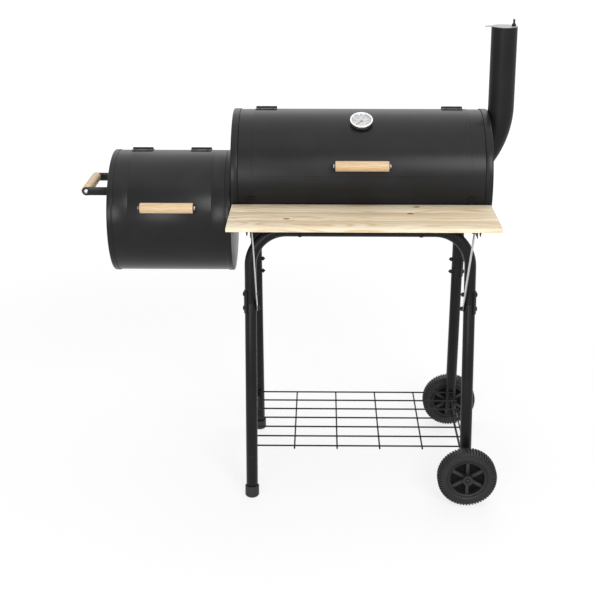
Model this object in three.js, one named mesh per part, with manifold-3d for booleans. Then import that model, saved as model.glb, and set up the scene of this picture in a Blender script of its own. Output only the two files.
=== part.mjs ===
// Offset smoker: a drum with a side firebox, a chimney, a tube frame, a shelf, a rack and two wheels
// Millimetres, +X to the right, -Y to the front, +Z up
import * as THREE from 'three';
import { mergeVertices } from 'three/addons/utils/BufferGeometryUtils.js';
import Module from 'manifold-3d';

const wasm = await Module();
wasm.setup();

// Fits shared by all pieces
const seatGap = 0.3;
const runGap = 0.5;
const overrun = 20;
const sheet = 1.2;
const facetTurn = 7.5;
const tubeFacets = 12;
const boreFacets = 8;
const boltFacets = 8;
const wireFacets = 4;
const dialFacets = 20;
const pipeFacets = 16;
const barrelFacets = 360 / facetTurn;
const nutFacets = 6;
const cornerSteps = 3;
const roundSteps = 4;
const edgeShare = 0.1;
const ample = 4;

// Drum and firebox
const drum = {
  name: 'drum',
  radius: 150,
  length: 615,
  axisHeight: 788,
  lidInset: 50.5,
  lidLow: 8.7,
  windowLow: 13.5,
  windowMargin: 12,
  hingeInset: [79.5, 85.5],
  capFlange: 17,
  lidCorner: 4,
};
const firebox = {
  name: 'firebox',
  radiusDrop: 2,
  length: 295,
  axisDrop: 101.5,
  lidInset: 15.5,
  lidLow: -9.5,
  windowLow: -4,
  windowMargin: 12,
  hingeInset: [69.5, 81.5],
  capFlange: 13,
  lidCorner: 12,
};
const lidGap = 0.6;
const hingeAngle = 97;
const lidSetback = 5.4;

// Lid hinges
const hinge = {
  width: 50,
  knuckleRadius: 3.5,
  pinRadius: 2,
  pinRise: 4.2,
  middleWidth: 25,
  leafSheet: 1.5,
  leafReach: 22,
  knuckleClear: 6.6,
  lapShare: 1.3,
};

// Wooden grips and their brackets
const grip = { radius: 12.2, boreRadius: 3.4, edge: 1.5 };
const strap = { width: 20.5, thickness: 2, boltRadius: 3, headRadius: 5.6, headHeight: 3.6,
  headTopShare: 0.7 };
const lidHandle = { span: 125, standOff: 32.5, angle: 17 };
const sideHandle = { span: 138, standOff: 59, rise: 65.5 };

// Thermometer in the drum lid
const dial = {
  angle: 61,
  backRadius: 22,
  bezelRadius: 27.5,
  depth: 13,
  slope: 4,
  lipRadius: 23.5,
  ledgeRadius: 22.3,
  ledgeDepth: 2.6,
  faceLevel: 5,
  chamfer: 1,
  stemRadius: 3.2,
  stemLength: 60,
  spindleRadius: 1,
  lensSheet: 1.5,
  needleLength: 17,
  needleHub: 3,
  needleSheet: 1,
  needleWidth: 2,
  coldAngle: 130,
  holeRadius: 4,
};

// Duct between firebox and drum
const duct = { width: 170, height: 96, corner: 30, drop: 51 };

// Rotary air vent on the firebox's left cap
const vent = {
  radius: 46,
  drop: 58,
  holeRadius: 12,
  holeCircle: 28,
  holes: 4,
  pivotRadius: 3,
  headRadius: 6,
  headHeight: 3,
  tabWidth: 10,
  tabReach: 9,
  tabShare: 0.8,
};

// Chimney
const chimney = {
  radius: 31,
  offset: 31.3,
  rise: 352,
  bendRise: 164,
  bendRadius: 220,
  bendAngle: 42,
  flangeRim: 12,
  flangeSheet: 1.5,
  flangeDrop: 13,
  flangeRise: 129,
  holeLowRise: 18,
  holeHighRise: 112,
  holeWidth: 48,
  holeCorner: 16,
};
const damper = {
  radius: 31.5,
  sheet: 1.6,
  studInset: 9,
  studRadius: 2.6,
  nutRadius: 5.2,
  nutHeight: 5,
  studRise: 18,
  tabWidth: 15,
  tabReach: 15,
  earDrop: 14,
  earSheet: 1.6,
  earWidth: 12,
  earShare: 0.96,
};

// Frame of bent tube
const frame = {
  tubeRadius: 14.3,
  tubeWall: 1.3,
  endInset: 43.5,
  standOff: 4,
  saddleAngle: 45,
  saddleInset: 119,
  splay: 69,
  bendRadius: 86,
  bendSteps: 5,
  seamDrop: 177,
  axleEndDrop: 24.5,
};
const joint = {
  upperRise: 22,
  lowerDrop: 13,
  plateDrop: 25,
  plateRise: 31,
  plateSheet: 2,
  plateSpread: 62,
  plateSteps: 6,
  boltRadius: 3,
  holeRadius: 3.4,
  headRadius: 6,
  headHeight: 3,
  nutRadius: 5.4,
  nutHeight: 5,
  tipLength: 3,
  headTopShare: 0.6,
};
const saddle = { radius: 9, holeRadius: 3.5 };
const foot = { radius: 17.4, height: 27, floor: 6, recessGap: 0.6 };

// Wheels and axle
const wheel = {
  radius: 73,
  width: 38,
  shoulder: 6,
  lipRadius: 45,
  hubRadius: 41,
  webHalf: 7,
  lipHalf: 16,
  bossRadius: 13,
  bossHalf: 24.5,
  spokes: 6,
  spokeWidth: 9,
  spokeHalf: 12,
  facets: 28,
};
const axle = { radius: 3, bore: 3.4, headRadius: 7, headHeight: 4, headTopShare: 0.7, nutRadius: 6.5,
  nutHeight: 6 };

// Bottom rack
const rack = {
  overhang: 8.5,
  height: 121,
  wireRadius: 2,
  rods: 7,
  crossShares: [0.2, 0.6],
  endInset: 8,
  tipReach: 8,
  tabWidth: 18,
  tabSheet: 2,
  tabDrop: 24,
  boltDrop: 15,
  weld: 0.6,
};

// Shelf
const shelf = {
  endInset: 2.5,
  depth: 195,
  thickness: 9,
  topDrop: 46,
  reach: 191,
  boards: 3,
  seam: 0.8,
  edge: 1,
  armSheet: 1.5,
  armWidth: 20,
  armDrop: 15,
  armSetback: 8,
  boltDrop: 17,
  footLow: -24.5,
  footHigh: -10,
  footSheet: 2,
};
const strut = { width: 14, thickness: 2, headInset: 41, headDrop: 9.5 };

// Grates
const grate = {
  rod: 4,
  frame: 6,
  cookEndGap: 35.5,
  cookSideGap: 8,
  cookPitch: 15.5,
  cookSplit: 4,
  coalEndGap: 37.5,
  coalSideGap: 58,
  coalPitch: 27,
  fireEndGap: 22.5,
  fireSideGap: 48,
  firePitch: 22,
};

// Sizes that follow from the ones above
firebox.radius = drum.radius - firebox.radiusDrop;
for (const barrel of [drum, firebox]) {
  barrel.lidWidth = barrel.length - 2 * barrel.lidInset;
  barrel.windowWidth = barrel.lidWidth - 2 * barrel.windowMargin;
  barrel.hingeAt = [barrel.hingeInset[0] - barrel.length / 2, barrel.length / 2 - barrel.hingeInset[1]];
}
firebox.axisHeight = drum.axisHeight - firebox.axisDrop;
duct.middle = drum.axisHeight - duct.drop;
chimney.top = drum.axisHeight + chimney.rise;
chimney.bendStart = drum.axisHeight + chimney.bendRise;
chimney.flangeLow = drum.axisHeight - chimney.flangeDrop;
chimney.flangeHigh = drum.axisHeight + chimney.flangeRise;
chimney.holeLow = drum.axisHeight + chimney.holeLowRise;
chimney.holeHigh = drum.axisHeight + chimney.holeHighRise;

const saddleReach = drum.radius + frame.standOff + frame.tubeRadius;
const saddleTurn = (frame.saddleAngle * Math.PI) / 180;
frame.halfWidth = drum.length / 2 - frame.endInset;
frame.saddleAt = frame.halfWidth - frame.saddleInset;
frame.runOffset = saddleReach * Math.sin(saddleTurn);
frame.runHeight = drum.axisHeight - saddleReach * Math.cos(saddleTurn);
frame.floorOffset = frame.runOffset + frame.splay;
frame.seam = frame.runHeight - frame.seamDrop;
joint.upper = frame.seam + joint.upperRise;
joint.lower = frame.seam - joint.lowerDrop;
joint.plateLow = frame.seam - joint.plateDrop;
joint.plateHigh = frame.seam + joint.plateRise;

rack.length = 2 * (frame.halfWidth + rack.overhang);
rack.boltHeight = rack.height - rack.boltDrop;
shelf.length = drum.length - 2 * shelf.endInset;
shelf.top = drum.axisHeight - shelf.topDrop;
shelf.front = drum.radius + shelf.reach;
strut.topOffset = shelf.front - strut.headInset;
strut.topHeight = shelf.top - shelf.thickness - strut.headDrop;
grate.cookLength = (drum.length - grate.cookSplit) / 2 - grate.cookEndGap;
grate.cookHalf = drum.radius - grate.cookSideGap;
grate.coalLength = drum.length - 2 * grate.coalEndGap;
grate.coalHalf = drum.radius - grate.coalSideGap;
grate.fireLength = firebox.length - 2 * grate.fireEndGap;
grate.fireHalf = firebox.radius - grate.fireSideGap;

// Materials, from the colours in the photo
const paint = new THREE.MeshStandardMaterial({ color: 0x2d2d2d, roughness: 0.42, metalness: 0.2 });
const gloss = new THREE.MeshStandardMaterial({ color: 0x282828, roughness: 0.3, metalness: 0.2 });
const bareSteel = new THREE.MeshStandardMaterial({ color: 0xa9abad, roughness: 0.38, metalness: 1 });
const chrome = new THREE.MeshStandardMaterial({ color: 0xd8dadc, roughness: 0.15, metalness: 1 });
const plastic = new THREE.MeshStandardMaterial({ color: 0x3a3a3a, roughness: 0.6, metalness: 0 });
const pine = new THREE.MeshStandardMaterial({ color: 0xe8d6b2, roughness: 0.6, metalness: 0 });
const turnedWood = new THREE.MeshStandardMaterial({ color: 0xd6b47d, roughness: 0.5, metalness: 0 });
const glass = new THREE.MeshStandardMaterial({ color: 0xf4f6f6, roughness: 0.05, metalness: 0 });
const redPaint = new THREE.MeshStandardMaterial({ color: 0xb02020, roughness: 0.5, metalness: 0 });

const rad = THREE.MathUtils.degToRad;
const deg = THREE.MathUtils.radToDeg;
const unitX = new THREE.Vector3(1, 0, 0);
const unitY = new THREE.Vector3(0, 1, 0);
const unitZ = new THREE.Vector3(0, 0, 1);

// Basis changes: a drawn profile (Y, Z) pushed along X, and a turned profile with its axis on X
const alongX = new THREE.Matrix4().makeBasis(unitY, unitZ, unitX);
const turnedOnX = new THREE.Matrix4().makeBasis(unitY, unitX, unitZ.clone().negate());

const quarterTurn = Math.PI / 2;
const facetInset = Math.cos(rad(facetTurn / 2));
const lean = Math.atan2(frame.floorOffset - frame.runOffset, frame.runHeight);

function toSolid(geometry) {
  const bare = geometry.clone();
  bare.deleteAttribute('normal');
  bare.deleteAttribute('uv');
  const merged = mergeVertices(bare);
  const corners = merged.index.array;
  const kept = [];
  for (let i = 0; i < corners.length; i += 3) {
    const [a, b, c] = [corners[i], corners[i + 1], corners[i + 2]];
    if (a !== b && b !== c && c !== a) kept.push(a, b, c);
  }
  const vertProperties = merged.attributes.position.array;
  return new wasm.Manifold(new wasm.Mesh({ numProp: 3, vertProperties, triVerts: new Uint32Array(kept) }));
}

function toGeometry(solid) {
  const mesh = solid.getMesh();
  const geometry = new THREE.BufferGeometry();
  geometry.setAttribute('position', new THREE.BufferAttribute(new Float32Array(mesh.vertProperties), 3));
  geometry.setIndex(new THREE.BufferAttribute(new Uint32Array(mesh.triVerts), 1));
  geometry.computeVertexNormals();
  return geometry;
}

const join = (...parts) => toGeometry(parts.map(toSolid).reduce((whole, part) => whole.add(part)));

const cut = (geometry, ...tools) =>
  toGeometry(tools.map(toSolid).reduce((whole, tool) => whole.subtract(tool), toSolid(geometry)));

// A point on a barrel's section: the angle rises from the front over the top to the back
const polar = (radius, angle) => new THREE.Vector2(-radius * Math.cos(rad(angle)),
  radius * Math.sin(rad(angle)));

function circlePoints(radius, count) {
  const turn = (2 * Math.PI) / count;
  return Array.from({ length: count }, (_, i) => new THREE.Vector2(radius * Math.cos(i * turn),
    radius * Math.sin(i * turn)));
}

function ringShape(outer, inner, count, innerCount = count) {
  const shape = new THREE.Shape(circlePoints(outer, count));
  if (inner > 0) shape.holes.push(new THREE.Path(circlePoints(inner, innerCount)));
  return shape;
}

// Angles of an arc: its two ends and the facet lines between them
function arcAngles(from, to) {
  const angles = [from];
  const first = Math.ceil(from / facetTurn + edgeShare) * facetTurn;
  for (let a = first; a < to - edgeShare * facetTurn; a += facetTurn) angles.push(a);
  angles.push(to);
  return angles;
}

function bandShape(inner, outer, from, to) {
  const angles = arcAngles(from, to);
  const outside = angles.map((a) => polar(outer, a));
  const inside = angles.map((a) => polar(inner, a)).reverse();
  return new THREE.Shape([...outside, ...inside]);
}

function extrude(shape, depth, bevel = 0) {
  const settings = { depth, bevelEnabled: bevel > 0, bevelSize: bevel, bevelThickness: bevel,
    bevelOffset: -bevel, bevelSegments: 1 };
  return new THREE.ExtrudeGeometry(shape, settings);
}

// A section in (Y, Z) pushed along X, centred on x = middle
const pushX = (shape, length, middle = 0) =>
  extrude(shape, length).applyMatrix4(alongX).translate(middle - length / 2, 0, 0);

// A profile of [radius, level] pairs turned about Y, closed on itself or on the axis
function turn(profile, facets) {
  const points = profile.map(([r, y]) => new THREE.Vector2(r, y));
  if (profile[0][0] > 0 || profile.at(-1)[0] > 0) points.push(points[0].clone());
  return new THREE.LatheGeometry(points, facets);
}

const rodX = (radius, length, count = boltFacets) =>
  new THREE.CylinderGeometry(radius, radius, length, count).rotateZ(quarterTurn);
const rodY = (radius, length, count = boltFacets) =>
  new THREE.CylinderGeometry(radius, radius, length, count);
const block = (x, y, z) => new THREE.BoxGeometry(x, y, z);

function roundedRect(width, height, corner) {
  const [w, h] = [width / 2, height / 2];
  const shape = new THREE.Shape();
  shape.moveTo(-w + corner, -h);
  shape.lineTo(w - corner, -h);
  shape.absarc(w - corner, -h + corner, corner, -quarterTurn, 0);
  shape.lineTo(w, h - corner);
  shape.absarc(w - corner, h - corner, corner, 0, quarterTurn);
  shape.lineTo(-w + corner, h);
  shape.absarc(-w + corner, h - corner, corner, quarterTurn, 2 * quarterTurn);
  shape.lineTo(-w, -h + corner);
  shape.absarc(-w + corner, -h + corner, corner, 2 * quarterTurn, 3 * quarterTurn);
  return new THREE.Shape(shape.getPoints(cornerSteps));
}

// A route whose rings stand at its knots, so bends get rings and straights get none
class BentRoute extends THREE.Curve {
  constructor(knots) {
    super();
    this.knots = knots;
  }

  knotNumber(t) {
    return Math.round(t * (this.knots.length - 1));
  }

  getPoint(t) {
    return this.knots[this.knotNumber(t)].clone();
  }

  getPointAt(t) {
    return this.getPoint(t);
  }

  getTangentAt(t) {
    const i = this.knotNumber(t);
    const before = this.knots[Math.max(i - 1, 0)];
    const after = this.knots[Math.min(i + 1, this.knots.length - 1)];
    const into = this.knots[i].clone().sub(before).normalize();
    const out = after.clone().sub(this.knots[i]).normalize();
    return into.add(out).normalize();
  }
}

function tubeAlong(knots, outer, inner, facets, innerFacets = facets) {
  const settings = { steps: knots.length - 1, extrudePath: new BentRoute(knots) };
  return new THREE.ExtrudeGeometry(ringShape(outer, inner, facets, innerFacets), settings);
}

// Turns a piece drawn along Y so that it points along a direction, and moves it to a place
function aim(geometry, place, direction) {
  const turnTo = new THREE.Quaternion().setFromUnitVectors(unitY, direction.clone().normalize());
  return geometry.applyQuaternion(turnTo).translate(place.x, place.y, place.z);
}

function named(name, geometry, material) {
  const mesh = new THREE.Mesh(geometry, material);
  mesh.name = name;
  return mesh;
}

const root = new THREE.Group();
const add = (parent, ...children) => parent.add(...children);

// Barrel frames: the drum's and the firebox's axes run along X
const drumFrame = new THREE.Group();
drumFrame.position.set(0, 0, drum.axisHeight);
const fireboxFrame = new THREE.Group();
const fireboxMiddle = -(drum.length + firebox.length) / 2 - seatGap;
fireboxFrame.position.set(fireboxMiddle, 0, firebox.axisHeight);
add(root, drumFrame, fireboxFrame);

// The capped end of a barrel: a disc with a flange rolled over the shell
function capGeometry(barrel) {
  const outer = barrel.radius + runGap + sheet;
  const profile = [[0, 0], [outer, 0], [outer, barrel.capFlange], [outer - sheet, barrel.capFlange],
    [outer - sheet, sheet], [0, sheet]];
  return turn(profile, barrelFacets).applyMatrix4(turnedOnX);
}

// The flange looks inward from both ends, so the right cap is the left one turned about the vertical
const capAt = (barrel, side) => {
  const cap = capGeometry(barrel);
  if (side > 0) cap.rotateZ(Math.PI);
  return cap.translate((side * barrel.length) / 2, 0, 0);
};

const shellLength = (barrel) => barrel.length - 2 * (sheet + seatGap);

function ductTool(barrel) {
  const opening = roundedRect(duct.width, duct.height, duct.corner);
  return pushX(opening, overrun).translate(0, 0, duct.middle - barrel.axisHeight);
}

function saddleHoles() {
  const tools = [];
  for (const x of [-frame.saddleAt, frame.saddleAt]) {
    for (const side of [-1, 1]) {
      const outward = new THREE.Vector3(0, side * frame.runOffset,
        frame.runHeight - drum.axisHeight).normalize();
      const place = outward.clone().multiplyScalar(drum.radius).setX(x);
      tools.push(aim(rodY(saddle.holeRadius, overrun), place, outward));
    }
  }
  return tools;
}

function shellGeometry(barrel, extraTools) {
  const ring = ringShape(barrel.radius, barrel.radius - sheet, barrelFacets);
  const tube = pushX(ring, shellLength(barrel));
  const gape = bandShape(barrel.radius - overrun, barrel.radius + overrun, barrel.windowLow,
    hingeAngle - facetTurn);
  return cut(tube, pushX(gape, barrel.windowWidth), ...extraTools);
}

const lidInner = (barrel) => barrel.radius + lidGap;
const lidOuter = (barrel) => lidInner(barrel) + sheet;
const angleOf = (length, barrel) => deg(length / barrel.radius);
const lidTopAngle = (barrel) => hingeAngle - angleOf(lidSetback, barrel);

// What a rounded corner leaves: a square less a quarter disc, pushed through the sheet from the front
function cornerTool(barrel, side) {
  const corner = barrel.lidCorner;
  const shape = new THREE.Shape();
  shape.moveTo(0, 0);
  shape.lineTo(corner, 0);
  shape.absarc(corner, corner, corner, -quarterTurn, -2 * quarterTurn, true);
  const wedge = extrude(new THREE.Shape(shape.getPoints(cornerSteps)), 2 * overrun).translate(0, 0,
    -overrun).rotateX(quarterTurn);
  if (side > 0) wedge.rotateZ(Math.PI);
  const low = polar(lidOuter(barrel), barrel.lidLow);
  return wedge.translate((side * barrel.lidWidth) / 2, low.x, low.y);
}

function lidSheetGeometry(barrel, tools) {
  const band = bandShape(lidInner(barrel), lidOuter(barrel), barrel.lidLow, lidTopAngle(barrel));
  return cut(pushX(band, barrel.lidWidth), cornerTool(barrel, -1), cornerTool(barrel, 1), ...tools);
}

// Hinge leaves: the pin and the two outer knuckles belong to the leaf on the shell
function hingeCentre(barrel) {
  return polar(barrel.radius + hinge.pinRise, hingeAngle);
}

function fixedLeafGeometry(barrel) {
  const centre = hingeCentre(barrel);
  const inner = barrel.radius + seatGap;
  const outer = inner + hinge.leafSheet;
  const clear = angleOf(hinge.knuckleClear, barrel);
  const leaf = pushX(bandShape(inner, outer, hingeAngle + clear,
    hingeAngle + angleOf(hinge.leafReach, barrel)), hinge.width);
  const outerWidth = (hinge.width - hinge.middleWidth) / 2 - runGap;
  const pieces = [leaf, rodX(hinge.pinRadius, hinge.width - outerWidth).translate(0, centre.x, centre.y)];
  for (const side of [-1, 1]) {
    const middle = (side * (hinge.width - outerWidth)) / 2;
    pieces.push(rodX(hinge.knuckleRadius, outerWidth, boltFacets).translate(middle, centre.x, centre.y));
    pieces.push(pushX(bandShape(inner, outer, hingeAngle, hingeAngle + hinge.lapShare * clear), outerWidth,
      middle));
  }
  return join(...pieces);
}

function movingLeafGeometry(barrel) {
  const centre = hingeCentre(barrel);
  const inner = lidOuter(barrel) + seatGap;
  const outer = inner + hinge.leafSheet;
  const clear = angleOf(hinge.knuckleClear, barrel);
  const leaf = pushX(bandShape(inner, outer, hingeAngle - angleOf(hinge.leafReach, barrel),
    hingeAngle - clear), hinge.width);
  const tongue = pushX(bandShape(inner, outer, hingeAngle - hinge.lapShare * clear, hingeAngle),
    hinge.middleWidth);
  const knuckle = rodX(hinge.knuckleRadius, hinge.middleWidth, boltFacets).translate(0, centre.x, centre.y);
  const bore = rodX(hinge.pinRadius + seatGap, hinge.width, boltFacets).translate(0, centre.x, centre.y);
  return cut(join(leaf, tongue, knuckle), bore);
}

// A wooden grip on a U bracket: X along the grip, Y away from the surface it stands on
function bracketGeometry(handle) {
  const half = handle.span / 2 + strap.thickness / 2;
  const pieces = [block(2 * half + strap.thickness, strap.thickness, strap.width).translate(0,
    strap.thickness / 2, 0)];
  const side = new THREE.Shape();
  side.moveTo(0, -strap.width / 2);
  side.lineTo(handle.standOff, -strap.width / 2);
  side.absarc(handle.standOff, 0, strap.width / 2, -quarterTurn, quarterTurn);
  side.lineTo(0, strap.width / 2);
  for (const end of [-1, 1]) {
    pieces.push(pushX(new THREE.Shape(side.getPoints(roundSteps)), strap.thickness, end * half));
    const head = [[0, 0], [strap.headRadius, 0], [strap.headRadius * strap.headTopShare, strap.headHeight],
      [0, strap.headHeight]];
    const place = new THREE.Vector3(end * half, handle.standOff, 0);
    pieces.push(aim(turn(head, boltFacets), place, new THREE.Vector3(end, 0, 0)));
  }
  pieces.push(rodX(strap.boltRadius, 2 * half).translate(0, handle.standOff, 0));
  return join(...pieces);
}

function gripGeometry(handle) {
  const half = handle.span / 2 - seatGap;
  const { radius, boreRadius, edge } = grip;
  const profile = [[boreRadius, -half], [radius - edge, -half], [radius, edge - half],
    [radius, half - edge],
    [radius - edge, half], [boreRadius, half]];
  return turn(profile, tubeFacets).rotateZ(quarterTurn);
}

function handleGroup(name, handle) {
  const group = new THREE.Group();
  const wood = named(name + '_grip', gripGeometry(handle), turnedWood);
  wood.position.y = handle.standOff;
  add(group, named(name + '_bracket', bracketGeometry(handle), paint), wood);
  return group;
}

// Stands a group on a lid at an angle, its Y pointing outward
function standOnLid(group, barrel, angle) {
  const place = polar(lidOuter(barrel) + seatGap, angle);
  group.position.set(0, place.x, place.y);
  group.rotation.x = Math.PI - rad(angle);
  return group;
}

function barrelHinges(barrel, lidGroup, shellGroup) {
  barrel.hingeAt.forEach((x, i) => {
    const label = barrel.name + '_hinge_' + ['left', 'right'][i];
    const fixed = named(label + '_shell_leaf', fixedLeafGeometry(barrel), gloss);
    const moving = named(label + '_lid_leaf', movingLeafGeometry(barrel), gloss);
    fixed.position.x = x;
    moving.position.x = x;
    add(shellGroup, fixed);
    add(lidGroup, moving);
  });
}

// Air holes, clear of the tab at the disc's top
function ventHoles() {
  const place = Array.from({ length: vent.holes }, (_, i) => ((2 * i + 1) * Math.PI) / vent.holes);
  return place.map((a) =>
    rodX(vent.holeRadius, overrun, tubeFacets).translate(0, vent.holeCircle * Math.cos(a),
      vent.holeCircle * Math.sin(a)));
}

function chimneyHole() {
  const opening = roundedRect(chimney.holeWidth, chimney.holeHigh - chimney.holeLow, chimney.holeCorner);
  const middle = (chimney.holeHigh + chimney.holeLow) / 2 - drum.axisHeight;
  return pushX(opening, overrun, drum.length / 2).translate(0, 0, middle);
}

function buildDrum() {
  add(drumFrame, named('drum_shell', shellGeometry(drum, saddleHoles()), paint));
  const left = cut(capAt(drum, -1), ductTool(drum).translate(-drum.length / 2, 0, 0));
  const right = cut(capAt(drum, 1), chimneyHole());
  add(drumFrame, named('drum_cap_left', left, paint), named('drum_cap_right', right, paint));
}

// The left firebox cap carries the vent's pivot, headed outside the disc
function fireboxLeftCap() {
  const face = -firebox.length / 2;
  const holes = ventHoles().map((tool) => tool.translate(face, 0, -vent.drop));
  const reach = 2 * seatGap + sheet;
  const pivot = rodX(vent.pivotRadius, reach + sheet).translate(face - (reach - sheet) / 2, 0, -vent.drop);
  const head = rodX(vent.headRadius, vent.headHeight).translate(face - reach - vent.headHeight / 2, 0,
    -vent.drop);
  return join(cut(capAt(firebox, -1), ...holes), pivot, head);
}

function buildFirebox() {
  add(fireboxFrame, named('firebox_shell', shellGeometry(firebox, []), paint));
  const right = cut(capAt(firebox, 1), ductTool(firebox).translate(firebox.length / 2, 0, 0));
  add(fireboxFrame, named('firebox_cap_left', fireboxLeftCap(), paint),
    named('firebox_cap_right', right, paint));
}

function buildVent() {
  const disc = rodX(vent.radius, sheet, dialFacets);
  const tab = block(vent.tabReach, sheet, vent.tabWidth).translate((sheet - vent.tabReach) / 2, 0,
    vent.radius * vent.tabShare);
  const bore = rodX(vent.pivotRadius + seatGap, overrun);
  const mesh = named('vent', cut(join(disc, tab), bore, ...ventHoles()), paint);
  mesh.position.set(-firebox.length / 2 - seatGap - sheet / 2, 0, -vent.drop);
  add(fireboxFrame, mesh);
}

// Thermometer: case with its stem through the lid, needle on a spindle, lens behind the bezel lip
function dialCaseGeometry() {
  const { stemRadius, stemLength, backRadius, bezelRadius, slope, depth, chamfer, lipRadius, ledgeRadius,
    ledgeDepth } = dial;
  const ledge = depth - ledgeDepth;
  const spindleTop = ledge - chamfer;
  const profile = [[0, -stemLength], [stemRadius, -stemLength], [stemRadius, 0], [backRadius, 0],
    [bezelRadius, slope],
    [bezelRadius, depth - chamfer], [bezelRadius - chamfer, depth], [lipRadius, depth], [lipRadius, ledge],
    [ledgeRadius, ledge], [ledgeRadius, dial.faceLevel], [dial.spindleRadius, dial.faceLevel],
    [dial.spindleRadius, spindleTop], [0, spindleTop]];
  return turn(profile, dialFacets);
}

function lensGeometry() {
  const radius = dial.lipRadius - seatGap;
  return rodY(radius, dial.lensSheet, dialFacets);
}

function needleGeometry() {
  const hub = rodY(dial.needleHub, dial.needleSheet);
  const blade = block(dial.needleWidth, dial.needleSheet, dial.needleLength).translate(0, 0,
    -dial.needleLength / 2);
  return cut(join(hub, blade), rodY(dial.spindleRadius + seatGap, overrun));
}

function buildDial(lidGroup) {
  const group = standOnLid(new THREE.Group(), drum, dial.angle);
  const lens = named('thermometer_lens', lensGeometry(), glass);
  lens.position.y = dial.depth - dial.ledgeDepth + seatGap + dial.lensSheet / 2;
  const needle = named('thermometer_needle', needleGeometry(), redPaint);
  needle.position.y = dial.faceLevel + seatGap + dial.needleSheet / 2;
  needle.rotation.y = rad(dial.coldAngle);
  add(group, named('thermometer_case', dialCaseGeometry(), chrome), lens, needle);
  add(lidGroup, group);
}

function dialHole() {
  const place = polar(drum.radius, dial.angle);
  return aim(rodY(dial.holeRadius, overrun), new THREE.Vector3(0, place.x, place.y),
    new THREE.Vector3(0, place.x, place.y));
}

function buildLid(barrel, shellFrame, tools) {
  const group = new THREE.Group();
  add(shellFrame, group);
  add(group, named(barrel.name + '_lid_sheet', lidSheetGeometry(barrel, tools), paint));
  add(group, standOnLid(handleGroup(barrel.name + '_lid', lidHandle), barrel, lidHandle.angle));
  barrelHinges(barrel, group, shellFrame);
  return group;
}

function buildSideHandle() {
  const group = handleGroup('side', sideHandle);
  group.position.set(-firebox.length / 2 - seatGap, 0, sideHandle.rise);
  group.rotation.z = quarterTurn;
  add(fireboxFrame, group);
}

// Chimney: an upright pipe whose foot bends into the drum's right cap
const pipeX = drum.length / 2 + seatGap + chimney.offset;

function pipeKnots(extend) {
  const knots = [new THREE.Vector3(pipeX, 0, chimney.top + extend)];
  const steps = Math.round(chimney.bendAngle / facetTurn);
  const centre = pipeX - chimney.bendRadius;
  for (let i = 0; i <= steps; i += 1) {
    const a = rad((i * chimney.bendAngle) / steps);
    knots.push(new THREE.Vector3(centre + chimney.bendRadius * Math.cos(a), 0,
      chimney.bendStart - chimney.bendRadius * Math.sin(a)));
  }
  return knots;
}

function pipeGeometry() {
  const face = drum.length / 2 + seatGap;
  const outer = tubeAlong(pipeKnots(0), chimney.radius, 0, pipeFacets);
  const bore = tubeAlong(pipeKnots(overrun), chimney.radius - sheet, 0, pipeFacets);
  const rim = roundedRect(2 * (chimney.radius + chimney.flangeRim), chimney.flangeHigh - chimney.flangeLow,
    chimney.radius);
  const flange = pushX(rim, chimney.flangeSheet, face + chimney.flangeSheet / 2)
    .translate(0, 0, (chimney.flangeHigh + chimney.flangeLow) / 2);
  const inside = block(chimney.bendRadius, ample * chimney.radius,
    chimney.top).translate(face - chimney.bendRadius / 2, 0, chimney.top / 2);
  return cut(join(outer, flange), bore, inside);
}

const studX = pipeX + chimney.radius - damper.studInset;

// The damper's stud stands on an ear inside the pipe's rim
function studGeometry() {
  const inner = chimney.radius - sheet - seatGap;
  const reach = pipeX + inner * damper.earShare;
  const shelfTop = chimney.top - damper.earDrop / 2;
  const plate = block(reach - studX + damper.earWidth / 2, damper.earWidth, damper.earSheet);
  const upright = block(damper.earSheet, damper.earWidth, damper.earDrop);
  plate.translate((reach + studX - damper.earWidth / 2) / 2, 0, shelfTop);
  upright.translate(reach - damper.earSheet / 2, 0, shelfTop - damper.earDrop / 2 + damper.earSheet / 2);
  const base = shelfTop - damper.earSheet / 2;
  const height = chimney.top + damper.studRise - base;
  const stud = rodY(damper.studRadius, height).rotateX(quarterTurn).translate(studX, 0, base + height / 2);
  const nut = rodY(damper.nutRadius, damper.nutHeight, nutFacets).rotateX(quarterTurn);
  nut.translate(studX, 0, chimney.top + 2 * seatGap + damper.sheet + damper.nutHeight / 2);
  return join(plate, upright, stud, nut);
}

function damperGeometry() {
  const disc = rodY(damper.radius, damper.sheet,
    2 * tubeFacets).rotateX(quarterTurn).translate(pipeX - studX, 0, 0);
  const tab = block(2 * damper.tabReach, damper.tabWidth,
    damper.sheet).translate(pipeX - studX - damper.radius, 0, 0);
  const bore = rodY(damper.studRadius + seatGap, overrun).rotateX(quarterTurn);
  return cut(join(disc, tab), bore);
}

function buildChimney() {
  const disc = named('damper', damperGeometry(), bareSteel);
  disc.position.set(studX, 0, chimney.top + seatGap + damper.sheet / 2);
  add(root, named('chimney_pipe', pipeGeometry(), paint), named('damper_stud', studGeometry(), gloss),
    disc);
}

// Frame: the legs lean outward in Y from the run under the drum to the floor
const legPoint = (x, side, z) => new THREE.Vector3(x,
  side * (frame.runOffset + (frame.runHeight - z) * Math.tan(lean)), z);
const legDirection = (side) => new THREE.Vector3(0, -side * Math.sin(lean), Math.cos(lean));
const sideName = (side) => (side < 0 ? 'front' : 'rear');
const endName = (end) => (end < 0 ? 'left' : 'right');

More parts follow.
